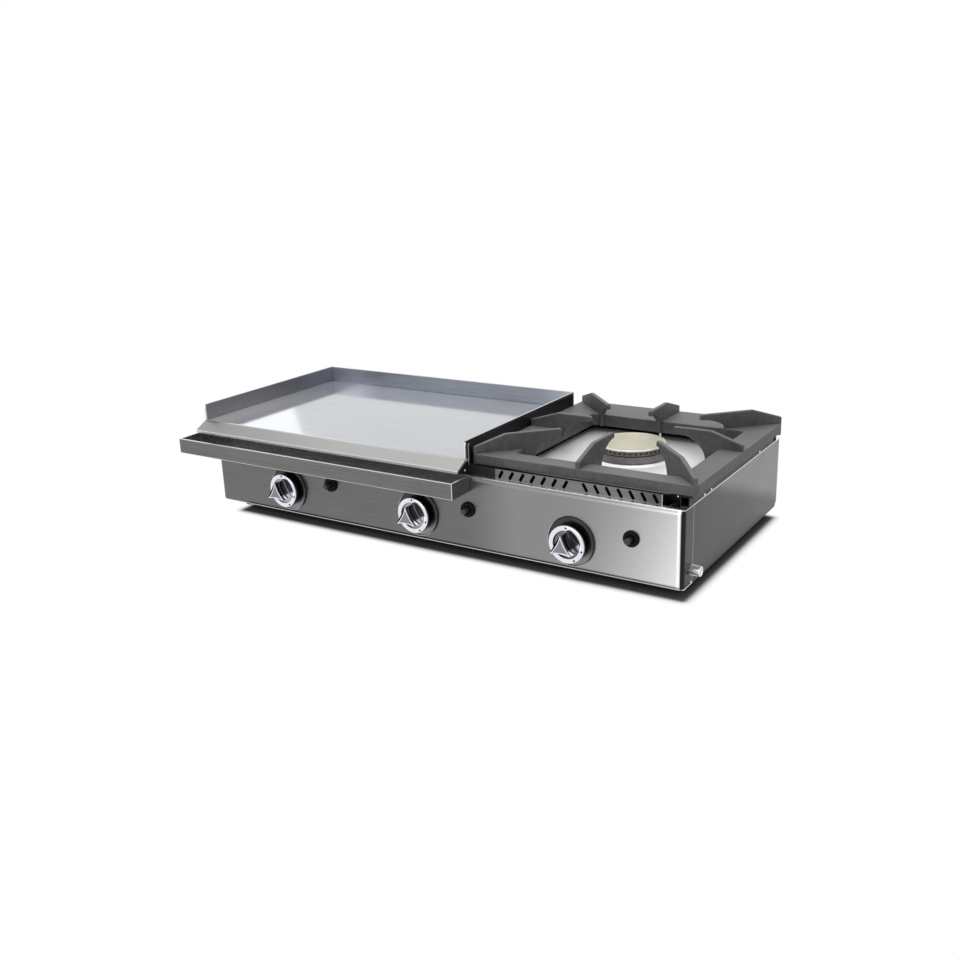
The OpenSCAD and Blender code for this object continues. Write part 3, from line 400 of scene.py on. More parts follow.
def lathe(profile, steps=64):
    """Turns a profile of radii and heights once round the z axis."""
    bm = bmesh.new()
    verts = [bm.verts.new((r, 0.0, h)) for r, h in profile]
    edges = [bm.edges.new(pair) for pair in zip(verts, verts[1:])]
    bmesh.ops.spin(bm, geom=verts + edges, cent=(0, 0, 0), axis=(0, 0, 1), angle=2 * pi, steps=steps,
                   use_merge=True, use_duplicate=False)
    bmesh.ops.remove_doubles(bm, verts=bm.verts, dist=1e-6)
    bmesh.ops.recalc_face_normals(bm, faces=bm.faces)
    return bm


def stand(bm, place, along=(0.0, 0.0, 1.0)):
    """Turns a mesh from upright to a direction and moves it to its place."""
    turned = Vector((0.0, 0.0, 1.0)).rotation_difference(Vector(along)).to_matrix().to_4x4()
    bmesh.ops.transform(bm, matrix=Matrix.Translation(place) @ turned, verts=bm.verts)
    return bm


def gather(meshes):
    """Joins several meshes into one."""
    whole = bmesh.new()
    for bm in meshes:
        mesh = bpy.data.meshes.new("part")
        bm.to_mesh(mesh)
        bm.free()
        whole.from_mesh(mesh)
        bpy.data.meshes.remove(mesh)
    return whole


def moulded(name, dark, light, rough, grain=900.0, depth=0.00003, coat=0.0, shine=0.5):
    """Rubber, plastic or paint with a fine grain and soft wear."""
    material, nodes, shader, place = surface(name, 0.0, coat)
    shader.inputs["Specular IOR Level"].default_value = shine
    pores = cloud(nodes, place, (grain, grain, grain), 2.0)
    wear = cloud(nodes, place, (26.0, 31.0, 22.0), 4.0, (2.0, 7.0, 1.0))
    nodes.feed(shader, {
        "Base Color": nodes.mix((pores * 0.4 + wear * 0.6).over(0.35, 0.7), dark, light),
        "Roughness": rough + (wear - 0.5) * 0.2 + (pores - 0.5) * 0.08,
        "Normal": nodes.bump(0.4, depth, pores),
    })
    return material


rubber = moulded("foot_rubber", (0.012, 0.012, 0.012), (0.03, 0.03, 0.03), 0.75)
low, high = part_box("rubber_feet")
foot_r = 0.014
foot_top = high[2]
foot_profile = [(0.0028, 0.006), (0.007, 0.006), (0.007, 0.0), (foot_r - 0.0028, 0.0), (foot_r - 0.0012, 0.0016),
                (foot_r, 0.0105), (foot_r, foot_top), (0.0028, foot_top), (0.0028, 0.006)]
feet = []
for x in (low[0] + foot_r, high[0] - foot_r):
    for y in (low[1] + foot_r, high[1] - foot_r):
        feet.append(stand(lathe(foot_profile, 48), (x, y, low[2])))
piece("rubber_foot_set", gather(feet), "base", rubber, ["rubber_feet"], edge=0.0004)


# Firebox and rails: black enamelled sheet walls under the plate, the divider between griddle and
# side burner, and the tubes that carry the trivet. They are folded, welded and painted.

enamel = moulded("satin_enamel", (0.006, 0.006, 0.0065), (0.016, 0.016, 0.017), 0.42, 700.0, 0.00002, shine=0.25)
dress(enamel, "griddle_front_rail", "firebox_left_wall", "firebox_rear_wall", "firebox_front_wall",
      "divider_wall", "burner_support", "hob_tray_rail", "hob_right_rail", "hob_rear_rail")


# Griddle plate: a thick ground steel plate, bent down at the front into a lip over the gutter.
# It lies on the black rails, and its surface has long soft grinding marks.

def extruded(profile, start, end, axis=0):
    """Extrudes a flat outline along an axis from start to end."""
    bm = bmesh.new()
    rest = [a for a in range(3) if a != axis]
    verts = []
    for p in profile:
        spot = [0.0, 0.0, 0.0]
        spot[axis] = start
        spot[rest[0]], spot[rest[1]] = p
        verts.append(bm.verts.new(spot))
    face = bm.faces.new(verts)
    grown = bmesh.ops.extrude_face_region(bm, geom=[face])["geom"]
    push = [0.0, 0.0, 0.0]
    push[axis] = end - start
    bmesh.ops.translate(bm, vec=push, verts=[v for v in grown if isinstance(v, bmesh.types.BMVert)])
    bmesh.ops.recalc_face_normals(bm, faces=bm.faces)
    return bm


def ground(name, dark, light, rough):
    """Ground plate: long marks along x, faint heat clouds, a painted sheen towards the left front, and a rougher lip
    along the front whose darker colour is painted shade, with a painted highlight on its front edge.
    """
    material, nodes, shader, place = surface(name, 0.6)
    x, y, z = axes_of(nodes, place)
    marks = cloud(nodes, place, (10.0, 420.0, 420.0), 3.0)
    cross_marks = cloud(nodes, place, (500.0, 14.0, 300.0), 2.0, (4.0, 4.0, 4.0))
    heat = cloud(nodes, place, (5.0, 7.0, 5.0), 3.0, (8.0, 3.0, 1.0))
    tone = nodes.mix((marks * 0.6 + cross_marks * 0.2 + heat * 0.2).over(0.3, 0.7), dark, light)
    # Painted sheen: the plate turns lighter towards its left front corner.
    left_front_sheen = (1.0 - x.over(-0.485, -0.41)) * (1.0 - y.over(-0.10, 0.12))
    tone = nodes.mix(left_front_sheen * 0.75, tone, (0.86, 0.82, 0.81))
    # The lip's colour is painted shade, darker at the left end and lighter towards the right, and its front edge
    # takes a painted highlight.
    lip = nodes.mix(x.over(-0.5, -0.05), (0.24, 0.24, 0.228), (0.42, 0.418, 0.41))
    on_lip = 1.0 - y.over(bend_y + 0.0005, bend_y + 0.003)
    lip_edge_highlight = 1.0 - y.over(plate_low[1] + 0.0003, plate_low[1] + 0.0009)
    nodes.feed(shader, {
        "Base Color": nodes.mix(lip_edge_highlight, nodes.mix(on_lip, tone, lip), (0.8, 0.8, 0.79)),
        "Roughness": rough + on_lip * 0.26 + (marks - 0.5) * 0.05 + (heat - 0.5) * 0.04,
        "Normal": nodes.bump(0.3, 0.00003, marks + cross_marks * 0.5),
    })
    return material


plate_low, plate_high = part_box("griddle_plate")
plate_t = 0.005
lip_run = 0.026
lip_drop = 0.014
plate_top = plate_high[2]
bend_y = plate_low[1] + lip_run
outline = [(plate_low[1], plate_top - lip_drop), (bend_y, plate_top), (plate_high[1], plate_top),
           (plate_high[1], plate_top - plate_t), (bend_y, plate_top - plate_t),
           (plate_low[1], plate_top - lip_drop - plate_t)]
plate = extruded(outline, plate_low[0], plate_high[0])
fold(plate, lambda v: near(v.y, bend_y) and near(v.z, plate_top), 0.004, 5)
plate_steel = ground("ground_plate", (0.46, 0.478, 0.505), (0.55, 0.568, 0.595), 0.085)
piece("griddle_plate_ground", plate, "base", plate_steel, ["griddle_plate"], edge=0.0006)


# Splash guards: three thin steel sheets welded upright along the plate's left, rear and right edges.
# The side guards have round upper front corners; a dark heat shield stands outside the right one.

guard_grain = (14.0, 14.0, 700.0)
guard_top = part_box("rear_guard")[1][2]
# Painted highlight lines along the guards' top edges and along the side guards' front edges.
guard_top_highlight = ((0.55, 0.57, 0.59), lambda x, y, z: z.over(guard_top - 0.0012, guard_top - 0.0006))
guard_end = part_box("right_guard")[0][1]
guard_front_highlight = ((0.85, 0.85, 0.87), lambda x, y, z: 1.0 - y.over(guard_end + 0.0022, guard_end + 0.003))
# The rear guard turns lighter towards both ends as painted reflection. The side guards take a darker copy as painted
# shade, lighter on the left guard.
guard_steel = brushed("guard_sheet", (0.27, 0.285, 0.33), (0.40, 0.425, 0.49), 0.3, guard_grain, tones=(
    ((0.75, 0.77, 0.82), lambda x, y, z: x.over(0.02, 0.16)),
    ((0.7, 0.73, 0.86), lambda x, y, z: 1.0 - x.over(-0.46, -0.36)), guard_top_highlight))
shaded_side_guard_steel = brushed("side_guard_sheet", (0.08, 0.08, 0.084), (0.125, 0.126, 0.132), 0.3, guard_grain, tones=(
    ((0.19, 0.19, 0.2), lambda x, y, z: 1.0 - x.over(-0.1, 0.0)), guard_top_highlight, guard_front_highlight))
shield_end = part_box("heat_shield")[0][1]
# The heat shield's front edge takes a painted highlight.
shield_steel = brushed("shield_sheet", (0.035, 0.036, 0.038), (0.065, 0.066, 0.07), 0.4, guard_grain, tones=(
    ((0.55, 0.53, 0.57), lambda x, y, z: 1.0 - y.over(shield_end + 0.002, shield_end + 0.003)),))
dress(shield_steel, "heat_shield")
guard_round = 0.010


def guard(node, finish):
    """A side guard with a round upper front corner."""
    low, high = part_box(node)
    sheet = block(low, high)
    fold(sheet, lambda v: near(v.y, low[1]) and near(v.z, high[2]), guard_round, 8)
    return piece(f"{node}_sheet", sheet, "base", finish, [node], edge=0.0007)


for node in ("left_guard", "right_guard"):
    guard(node, shaded_side_guard_steel)
low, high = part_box("rear_guard")
piece("rear_guard_sheet", block(low, high), "base", guard_steel, ["rear_guard"], edge=0.0007)


# Drip gutter: a long open stainless trough under the plate's lip, with a folded hem round its rim.
# It catches the fat and pulls out to the front.

def rim_of(bm, test=lambda place: True):
    """The border edges whose two ends both pass the test."""
    return [e for e in bm.edges if e.is_boundary and all(test(v.co) for v in e.verts)]


def grow(bm, edges):
    """Extrudes edges and gives their new corners, still in the old places."""
    made = bmesh.ops.extrude_edge_only(bm, edges=edges)["geom"]
    return [v for v in made if isinstance(v, bmesh.types.BMVert)]


low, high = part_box("drip_gutter")
tongue = 0.0113
back = high[1] - tongue
hem_w, hem_drop = 0.0026, 0.0035
# The gutter takes a darker copy of the stainless. Its front face is painted shade under the lip and the rest of the
# trough a lighter grey. Its right end face is darker as painted shade, and painted highlight lines run along its top
# and bottom folds and down its front right corner.
shaded_gutter_steel = brushed("gutter_sheet", (0.13, 0.13, 0.13), (0.2, 0.2, 0.198), 0.27, rolled, tones=(
    ((0.42, 0.42, 0.41), lambda x, y, z: y.over(low[1] + 0.0012, low[1] + 0.0016)),
    ((0.22, 0.22, 0.22), lambda x, y, z: x.over(high[0] - 0.0008, high[0] - 0.0004)),
    ((0.6, 0.6, 0.6), lambda x, y, z: z.over(high[2] - 0.0013, high[2] - 0.0007)),
    ((0.6, 0.6, 0.6), lambda x, y, z: 1.0 - z.over(low[2] + 0.0013, low[2] + 0.0019)),
    ((0.7, 0.7, 0.7), lambda x, y, z: x.over(high[0] - 0.0016, high[0] - 0.0009)
     * (1.0 - y.over(low[1] + 0.0010, low[1] + 0.0018))),
))
trough = block(low, (high[0], back, high[2]))
drop(trough, lambda c: near(c.z, high[2]))
fold(trough, lambda v: near(v.z, low[2]), 0.0018)
for v in grow(trough, rim_of(trough)):
    v.co.x += hem_w if v.co.x < 0 else -hem_w
    v.co.y += hem_w if near(v.co.y, low[1]) else -hem_w
bmesh.ops.translate(trough, vec=(0, 0, -hem_drop), verts=grow(trough, rim_of(trough)))
piece("drip_gutter_trough", trough, "gutter", shaded_gutter_steel, ["drip_gutter"], wall=0.0011, edge=0.0003)


# Slotted strip: a bright stainless channel across the front of the side burner. Two groups of slots,
# leaning apart from its middle, let air in over the tray; its top is folded back.

def ring_of(bm, points):
    """Joins points into a closed outline."""
    verts = [bm.verts.new(p) for p in points]
    return [bm.edges.new(pair) for pair in zip(verts, verts[1:] + verts[:1])]


def slotted_cell(low, high, slot_l, slot_w, lean, y):
    """A flat cell of sheet round one slot with round ends."""
    bm = bmesh.new()
    middle_x = (low[0] + high[0]) / 2
    middle_z = (low[1] + high[1]) / 2
    around = 24
    hole = []
    frame_points = []
    for i in range(around):
        a = 2 * pi * (i + 0.5) / around
        shift = (slot_l - slot_w) / 2 * (1 if sin(a) > 0 else -1)
        x = slot_w / 2 * cos(a)
        z = slot_w / 2 * sin(a) + shift
        hole.append((middle_x + x * cos(lean) + z * sin(lean), y, middle_z - x * sin(lean) + z * cos(lean)))
        b = a - lean
        reach = min((high[0] - low[0]) / 2 / max(abs(cos(b)), 1e-4), (high[1] - low[1]) / 2 / max(abs(sin(b)), 1e-4))
        frame_points.append((middle_x + reach * cos(b), y, middle_z + reach * sin(b)))
    for x, z in ((low[0], low[1]), (high[0], low[1]), (high[0], high[1]), (low[0], high[1])):
        nearest = min(range(around), key=lambda i: hypot(frame_points[i][0] - x, frame_points[i][2] - z))
        frame_points[nearest] = (x, y, z)
    edges = ring_of(bm, hole) + ring_of(bm, frame_points)
    bmesh.ops.bridge_loops(bm, edges=edges)
    return bm


strip_low, strip_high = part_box("slotted_strip")
strip_mid = (strip_low[0] + strip_high[0]) / 2
slots, first_slot = 7, 0.875
pitch = 0.020
slot_l, slot_w = 0.0162, 0.0056
slot_z = strip_high[2] - 0.0085
cell_h = 0.0078
lean = radians(30.0)
cells = []
for side in (-1, 1):
    for i in range(slots):
        x = strip_mid + side * (first_slot + i) * pitch
        cells.append(slotted_cell((x - pitch / 2, slot_z - cell_h), (x + pitch / 2, slot_z + cell_h),
                                  slot_l, slot_w, -side * lean, strip_low[1]))
web = gather(cells)
bmesh.ops.remove_doubles(web, verts=web.verts, dist=1e-5)


def widen(bm, axis, value, to):
    """Extrudes the border edges that lie at a value along an axis to another value."""
    for v in grow(bm, rim_of(bm, lambda place: near(place[axis], value))):
        v.co[axis] = to


row_start = (first_slot - 0.5) * pitch
row_end = (first_slot - 0.5 + slots) * pitch
inner_edges = rim_of(web, lambda place: near(place.x, strip_mid - row_start))
inner_edges += rim_of(web, lambda place: near(place.x, strip_mid + row_start))
bmesh.ops.bridge_loops(web, edges=inner_edges)
widen(web, 0, strip_mid - row_end, strip_low[0])
widen(web, 0, strip_mid + row_end, strip_high[0])
widen(web, 2, slot_z + cell_h, strip_high[2])
widen(web, 2, slot_z - cell_h, strip_low[2])
top_corners = grow(web, rim_of(web, lambda place: near(place.z, strip_high[2])))
bmesh.ops.translate(web, vec=(0, strip_high[1] - strip_low[1], 0), verts=top_corners)
bmesh.ops.remove_doubles(web, verts=web.verts, dist=1e-5)
bmesh.ops.recalc_face_normals(web, faces=web.faces)
if sum(f.normal.y for f in web.faces) > 0:
    bmesh.ops.reverse_faces(web, faces=web.faces)
# The strip takes a darker copy of the stainless as painted shade. Its folded top is near black painted shade, it
# darkens towards its right end as painted shade, and its right end edge takes a painted highlight.
shaded_strip_steel = brushed("strip_sheet", (0.15, 0.147, 0.143), (0.235, 0.23, 0.22), 0.28, rolled, tones=(
    ((0.03, 0.03, 0.03), lambda x, y, z: y.over(strip_low[1] + 0.0016, strip_low[1] + 0.0028)),
    ((0.11, 0.105, 0.103), lambda x, y, z: x.over(0.40, 0.45)),
    ((0.6, 0.6, 0.59), lambda x, y, z: x.over(strip_high[0] - 0.0013, strip_high[0] - 0.0007))))
piece("slotted_strip_sheet", web, "base", shaded_strip_steel, ["slotted_strip"], wall=0.0014, edge=0.00025)


# Burner tray: a bright pressed sheet under the trivet. A raised collar round its hole carries the
# burner, and its sides are turned down.

burner_low, burner_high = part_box("burner_ring")
hob = ((burner_low[0] + burner_high[0]) / 2, (burner_low[1] + burner_high[1]) / 2)
tray_low, tray_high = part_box("hob_tray")
tray_top = tray_low[2] + gauge
tray_skirt = 0.010
hub_r = 0.084
tray = bmesh.new()
around = 96
hub = bmesh.ops.create_circle(tray, segments=around, radius=hub_r)["verts"]
bmesh.ops.translate(tray, vec=(hob[0], hob[1], tray_top), verts=hub)
hub_edges = tray.edges[:]
border = []
for i in range(around):
    a = 2 * pi * i / around
    reach_x = (tray_high[0] - hob[0]) if cos(a) > 0 else (hob[0] - tray_low[0])
    reach_y = (tray_high[1] - hob[1]) if sin(a) > 0 else (hob[1] - tray_low[1])
    reach = min(reach_x / max(abs(cos(a)), 1e-4), reach_y / max(abs(sin(a)), 1e-4))
    border.append([hob[0] + reach * cos(a), hob[1] + reach * sin(a), tray_top])
for x in (tray_low[0], tray_high[0]):
    for y in (tray_low[1], tray_high[1]):
        nearest = min(border, key=lambda p: hypot(p[0] - x, p[1] - y))
        nearest[0], nearest[1] = x, y
bmesh.ops.bridge_loops(tray, edges=hub_edges + ring_of(tray, border))
bmesh.ops.recalc_face_normals(tray, faces=tray.faces)
if tray.faces[:][0].normal.z < 0:
    bmesh.ops.reverse_faces(tray, faces=tray.faces)


def draw_in(bm, radius, rise):
    """Extrudes the inner round border to a new radius and height."""
    for v in grow(bm, rim_of(bm, lambda place: hypot(place.x - hob[0], place.y - hob[1]) < hub_r + 0.002)):
        now = hypot(v.co.x - hob[0], v.co.y - hob[1])
        v.co.x = hob[0] + (v.co.x - hob[0]) * radius / now
        v.co.y = hob[1] + (v.co.y - hob[1]) * radius / now
        v.co.z = tray_top + rise


collar = tray_high[2] - tray_top
for radius, rise in ((0.078, -0.0003), (0.0735, 0.0), (0.0715, 0.0008), (0.0690, collar - 0.0010),
                     (0.0675, collar - 0.0002), (0.0646, collar), (0.0640, collar - 0.0012), (0.0640, -0.004)):
    draw_in(tray, radius, rise)
rim = [e for e in rim_of(tray, lambda place: place.z > tray_top - 0.001)
       if not all(near(v.co.y, tray_low[1]) for v in e.verts)]
bmesh.ops.translate(tray, vec=(0, 0, -tray_skirt), verts=grow(tray, rim))
fold(tray, lambda v: near(v.z, tray_top) and (near(v.x, tray_low[0]) or near(v.x, tray_high[0])
                                              or near(v.y, tray_high[1])), 0.0016)
# The tray's front strip under the trivet's front bar is painted shade: its faces take a near black finish, and the
# sheet darkens towards it.
shaded_front_y = tray_low[1] + 0.046
slice_at(tray, (0.0, shaded_front_y, 0.0), (0.0, 1.0, 0.0))
for f in tray.faces:
    f.material_index = int(f.calc_center_median().y < shaded_front_y)
tray_front_shade = moulded("tray_front_painted_shade", (0.004, 0.004, 0.004), (0.01, 0.01, 0.01), 0.9, shine=0.03)
# The tray also darkens towards its rear right corner as painted shade.
tray_steel = brushed("tray_sheet", (0.8, 0.8, 0.79), (0.9, 0.9, 0.89), 0.5, (14.0, 700.0, 700.0), 0.05, tones=(
    ((0.02, 0.02, 0.02), lambda x, y, z: 1.0 - y.over(shaded_front_y, shaded_front_y + 0.016)),
    ((0.6, 0.6, 0.59), lambda x, y, z: (x + y).over(0.44, 0.50))), metallic=0.6)
tray_sheet = piece("hob_tray_sheet", tray, "base", tray_steel, ["hob_tray"], wall=0.0012)
tray_sheet.data.materials.append(tray_front_shade)


# Side burner: a grey sand-cast cup and ring, a dark cast crown drilled all round with flame ports,
# and a pressed cap with a turned bright rim. Crown and cap lift off.

def cast(name, dark, light, rough, metallic, grain=520.0, depth=0.00012, lit_tops=None):
    """Sand casting: fine pits, soft lumps and a little dust in the hollows; given a pale colour, faces that point
    upward are painted paler, a painted highlight.
    """
    material, nodes, shader, place = surface(name, metallic)
    pits = cloud(nodes, place, (grain, grain, grain), 4.0)
    lumps = cloud(nodes, place, (90.0, 90.0, 90.0), 3.0, (1.0, 2.0, 3.0))
    dust = cloud(nodes, place, (12.0, 15.0, 18.0), 4.0, (6.0, 2.0, 9.0))
    colour = nodes.mix((pits * 0.35 + lumps * 0.25 + dust * 0.4).over(0.35, 0.68), dark, light)
    if lit_tops:
        # Painted highlight: upward-facing faces and rounded edges turn paler.
        upward_facing = axes_of(nodes, nodes.add("ShaderNodeTexCoord", out=1))[2]
        colour = nodes.mix(upward_facing.over(0.5, 0.95) * (0.4 + pits * 0.3 + dust * 0.3), colour, lit_tops)
    nodes.feed(shader, {
        "Base Color": colour,
        "Roughness": rough + (pits - 0.5) * 0.25 + (dust - 0.5) * 0.15,
        "Normal": nodes.bump(0.5, depth, pits + lumps * 0.8),
    })
    return material


def turned(name, dark, light, rough, middle, rim_r, rim_colour):
    """Pressed and turned metal: fine rings about its middle and a brighter rim."""
    material, nodes, shader, place = surface(name, 1.0)
    moved = nodes.add("ShaderNodeMapping", inputs={"Vector": place, "Location": (-middle[0], -middle[1], 0.0)})
    flat = nodes.add("ShaderNodeVectorMath", {"operation": "MULTIPLY"}, {0: moved, 1: (1.0, 1.0, 0.0)})
    radius = nodes.add("ShaderNodeVectorMath", {"operation": "LENGTH"}, {0: flat}, out=1)
    line = nodes.add("ShaderNodeCombineXYZ", inputs={"X": radius * 1400.0, "Y": 0.0, "Z": 0.0})
    rings = nodes.add("ShaderNodeTexNoise", inputs={"Vector": line, "Scale": 1.0, "Detail": 2.0})
    stain = cloud(nodes, place, (38.0, 33.0, 40.0), 5.0, (2.0, 2.0, 5.0))
    bright = radius.over(rim_r - 0.0004, rim_r + 0.0004)
    tone = nodes.mix((rings * 0.4 + stain * 0.6).over(0.3, 0.75), dark, light)
    nodes.feed(shader, {
        "Base Color": nodes.mix(bright, tone, rim_colour),
        "Roughness": rough - bright * 0.18 + (rings - 0.5) * 0.1 + (stain - 0.5) * 0.2,
        "Normal": nodes.bump(0.3, 0.00003, rings),
    })
    return material


burner_alloy = cast("burner_casting", (0.1, 0.096, 0.09), (0.23, 0.222, 0.21), 0.55, 0.7)
dress(burner_alloy, "burner_base")
ring_z = burner_low[2]
crown_z = burner_high[2]
ring_profile = [(0.045, 0.0), (0.0672, 0.0), (0.068, 0.0008), (0.0679, 0.0018), (0.0664, 0.0036), (0.0628, 0.0072),
                (0.0612, 0.0094), (0.0602, 0.0104), (0.0588, 0.0105), (0.045, 0.0105), (0.045, 0.0)]
piece("burner_ring_casting", stand(lathe(ring_profile, 96), (*hob, ring_z)), "base", burner_alloy,
      ["burner_ring"], edge=0.0004)

crown_metal = cast("crown_casting", (0.14, 0.132, 0.122), (0.28, 0.265, 0.245), 0.5, 0.7)
crown_low, crown_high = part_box("burner_crown")
crown_h = crown_high[2] - crown_z
port_count, port_depth = 40, 0.004
facets = 4 * port_count
port_z = (0.0038, 0.0070)
crown_r = (crown_high[0] - crown_low[0]) / 2
crown_profile = [(0.038, -0.007), (0.0445, -0.007), (0.0445, 0.0), (crown_r - 0.002, 0.0), (crown_r - 0.0018, 0.0011),
                 (crown_r, 0.0013), (crown_r, port_z[0]), (crown_r, port_z[1]), (crown_r, crown_h - 0.0004),
                 (crown_r - 0.0005, crown_h), (0.038, crown_h), (0.038, -0.007)]
crown = lathe(crown_profile, facets)
ports = []
for f in crown.faces:
    c = f.calc_center_median()
    step = int(round(atan2(c.y, c.x) / (2 * pi) * facets - 0.5)) % 4
    if port_z[0] < c.z < port_z[1] and hypot(c.x, c.y) > crown_r - 0.0005 and step in (1, 2):
        ports.append(f)
bmesh.ops.inset_region(crown, faces=ports, thickness=0.0002)
for f in ports:
    for v in f.verts:
        v.tag = True
for v in crown.verts:
    if v.tag:
        shrink = (crown_r - port_depth) / hypot(v.co.x, v.co.y)
        v.co.x *= shrink
        v.co.y *= shrink
piece("burner_crown_casting", stand(crown, (*hob, crown_z)), "crown", crown_metal, ["burner_crown"])

cap_low, cap_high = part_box("burner_cap")
cap_r = (cap_high[0] - cap_low[0]) / 2
cap_t = 0.003
cap_profile = [(0.0, 0.0027), (0.026, 0.0027), (0.046, 0.0026), (0.0532, 0.0027), (0.0546, 0.0029), (0.0566, 0.0030),
               (0.0582, 0.0029), (cap_r - 0.0002, 0.0023), (cap_r, 0.0014), (cap_r - 0.0003, 0.0003),
               (cap_r - 0.0008, 0.0), (0.0375, 0.0), (0.0375, -0.004), (0.0345, -0.004), (0.0345, 0.0), (0.0, 0.0)]
cap_metal = turned("pressed_cap", (0.49, 0.468, 0.37), (0.605, 0.58, 0.475), 0.5, hob, cap_r - 0.0012,
                   (0.95, 0.94, 0.9))
piece("burner_cap_pressing", stand(lathe(cap_profile, 128), (*hob, cap_high[2] - cap_t)), "cap", cap_metal,
      ["burner_cap"])


# Trivet: one iron casting, a broad frame, hollow underneath, round an open window. Eight fingers
# rise from its edge towards the burner's middle and carry the pan. It lies loose on the rails.

# The iron's upward-facing faces take a painted highlight, paler on the trivet's upper surfaces and rounded edges.
iron = cast("cast_iron", (0.055, 0.055, 0.058), (0.115, 0.114, 0.118), 0.58, 0.3, 620.0, 0.00016,
            (0.2, 0.195, 0.185))
trivet_low, trivet_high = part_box("trivet_frame")
wall = 0.006
hollow = 0.012
skirt = 0.005
side_bars, front_bar, rear_bar = (0.066, 0.042), 0.035, 0.084
window_low = (trivet_low[0] + side_bars[0], trivet_low[1] + front_bar)
window_high = (trivet_high[0] - side_bars[1], trivet_high[1] - rear_bar)


def round_corner(bm, x, y, radius):
    """Rounds the upright edges that stand at a point."""
    fold(bm, lambda v: near(v.x, x) and near(v.y, y), radius, 6)


trivet_frame = block((*trivet_low[:2], trivet_low[2] + skirt), trivet_high)
for x in (window_low[0], window_high[0]):
    slice_at(trivet_frame, (x, 0.0, 0.0), (1.0, 0.0, 0.0))
for y in (window_low[1], window_high[1]):
    slice_at(trivet_frame, (0.0, y, 0.0), (0.0, 1.0, 0.0))
drop(trivet_frame, lambda c: window_low[0] < c.x < window_high[0] and window_low[1] < c.y < window_high[1])
bmesh.ops.bridge_loops(trivet_frame, edges=rim_of(trivet_frame))
for x in (0, 1):
    for y in (0, 1):
        round_corner(trivet_frame, (trivet_low, trivet_high)[x][0], (trivet_low, trivet_high)[y][1], 0.012)
        round_corner(trivet_frame, (window_low, window_high)[x][0], (window_low, window_high)[y][1], 0.010)
bmesh.ops.recalc_face_normals(trivet_frame, faces=trivet_frame.faces)
underside = [f for f in trivet_frame.faces if f.normal.z < -0.9]
bmesh.ops.inset_region(trivet_frame, faces=underside, thickness=wall, depth=-hollow, use_even_offset=True)
for v in trivet_frame.verts:
    at_window = (window_low[0] - wall - 0.0001 < v.co.x < window_high[0] + wall + 0.0001
                 and window_low[1] - wall - 0.0001 < v.co.y < window_high[1] + wall + 0.0001)
    if near(v.co.z, trivet_low[2] + skirt) and at_window:
        v.co.z -= skirt
piece("trivet_frame_casting", trivet_frame, "trivet", iron, ["trivet_frame"], edge=0.003)

half = ((trivet_high[0] - trivet_low[0]) / 2, (trivet_high[1] - trivet_low[1]) / 2)
corner_turn = atan2(half[1], half[0])
corner_end = hypot(*half) - 0.0046
finger_half = 0.004


def finger(turn, end, leg, tip, heel=-0.002):
    """One arched finger that points at the burner's middle, solid behind its leg down to the frame's wall."""
    root, top = trivet_low[2] - trivet_high[2] + 0.0004, 0.029
    under = top - 0.010
    reach = min((half[0] - side_bars[cos(turn) > 0]) / max(abs(cos(turn)), 1e-4),
                (half[1] - (rear_bar if sin(turn) > 0 else front_bar)) / max(abs(sin(turn)), 1e-4))
    bottom = reach + 0.004
    arch = [(tip + (leg - tip) * sin(pi / 32 * i), root + (under - root) * cos(pi / 32 * i)) for i in range(17)]
    arch = [p for p in arch if p[0] < bottom]
    outline = arch + [(bottom, arch[-1][1]), (bottom, -0.002), (end - 0.008, -0.002), (end - 0.008, heel),
                      (end, heel), (end, 0.011), (end - 0.056, top),
                      (tip + 0.004, top), (tip + 0.0012, top - 0.001), (tip, top - 0.004)]
    bm = extruded(outline, -finger_half, finger_half, axis=1)
    place = Matrix.Translation((*trivet_middle, trivet_high[2])) @ Matrix.Rotation(turn, 4, "Z")
    bmesh.ops.transform(bm, matrix=place, verts=bm.verts)
    return bm


trivet_middle = ((trivet_low[0] + trivet_high[0]) / 2, (trivet_low[1] + trivet_high[1]) / 2)
fingers = [finger(a, half[0] - 0.0004, 0.134, 0.076) for a in (0.0, pi)]
fingers += [finger(a, half[1] - 0.0004, leg, 0.076) for a, leg in ((pi / 2, 0.117), (-pi / 2, 0.124))]
fingers += [finger(a, corner_end, leg, 0.126, trivet_low[2] - trivet_high[2] + 0.0006) for a, leg in (
    (corner_turn, 0.188), (pi - corner_turn, 0.165), (pi + corner_turn, 0.175), (-corner_turn, 0.175))]
piece("trivet_finger_castings", gather(fingers), "trivet", iron, ["trivet_fingers"], edge=0.002)


# Gas works behind the panel: tube burners, tap plugs and stems of drawn steel, tap bodies and
# injectors of brass, ceramic spark plugs, flame sensors and sleeved ignition leads.

drawn_steel = brushed("drawn_steel", (0.3, 0.3, 0.3), (0.45, 0.45, 0.45), 0.4, (300.0, 14.0, 300.0))
brass = brushed("machined_brass", (0.5, 0.34, 0.12), (0.68, 0.5, 0.22), 0.3, (600.0, 40.0, 600.0))
ceramic = moulded("glazed_ceramic", (0.62, 0.59, 0.53), (0.8, 0.78, 0.72), 0.25, 300.0, 0.00001, 0.6)
sleeve = moulded("lead_sleeve", (0.2, 0.02, 0.015), (0.32, 0.04, 0.03), 0.55)
dress(drawn_steel, "griddle_burner_1", "griddle_burner_2", *(f"valve_plug_{i}" for i in (1, 2, 3)),
      *(f"valve_stem_{i}" for i in (1, 2, 3)))
dress(brass, "injectors", "thermocouples", *(f"valve_body_{i}" for i in (1, 2, 3)))
dress(ceramic, "griddle_electrodes")
dress(sleeve, "ignition_leads")
spark_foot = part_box("hob_electrode")[0][2]
socket_top = 0.1572
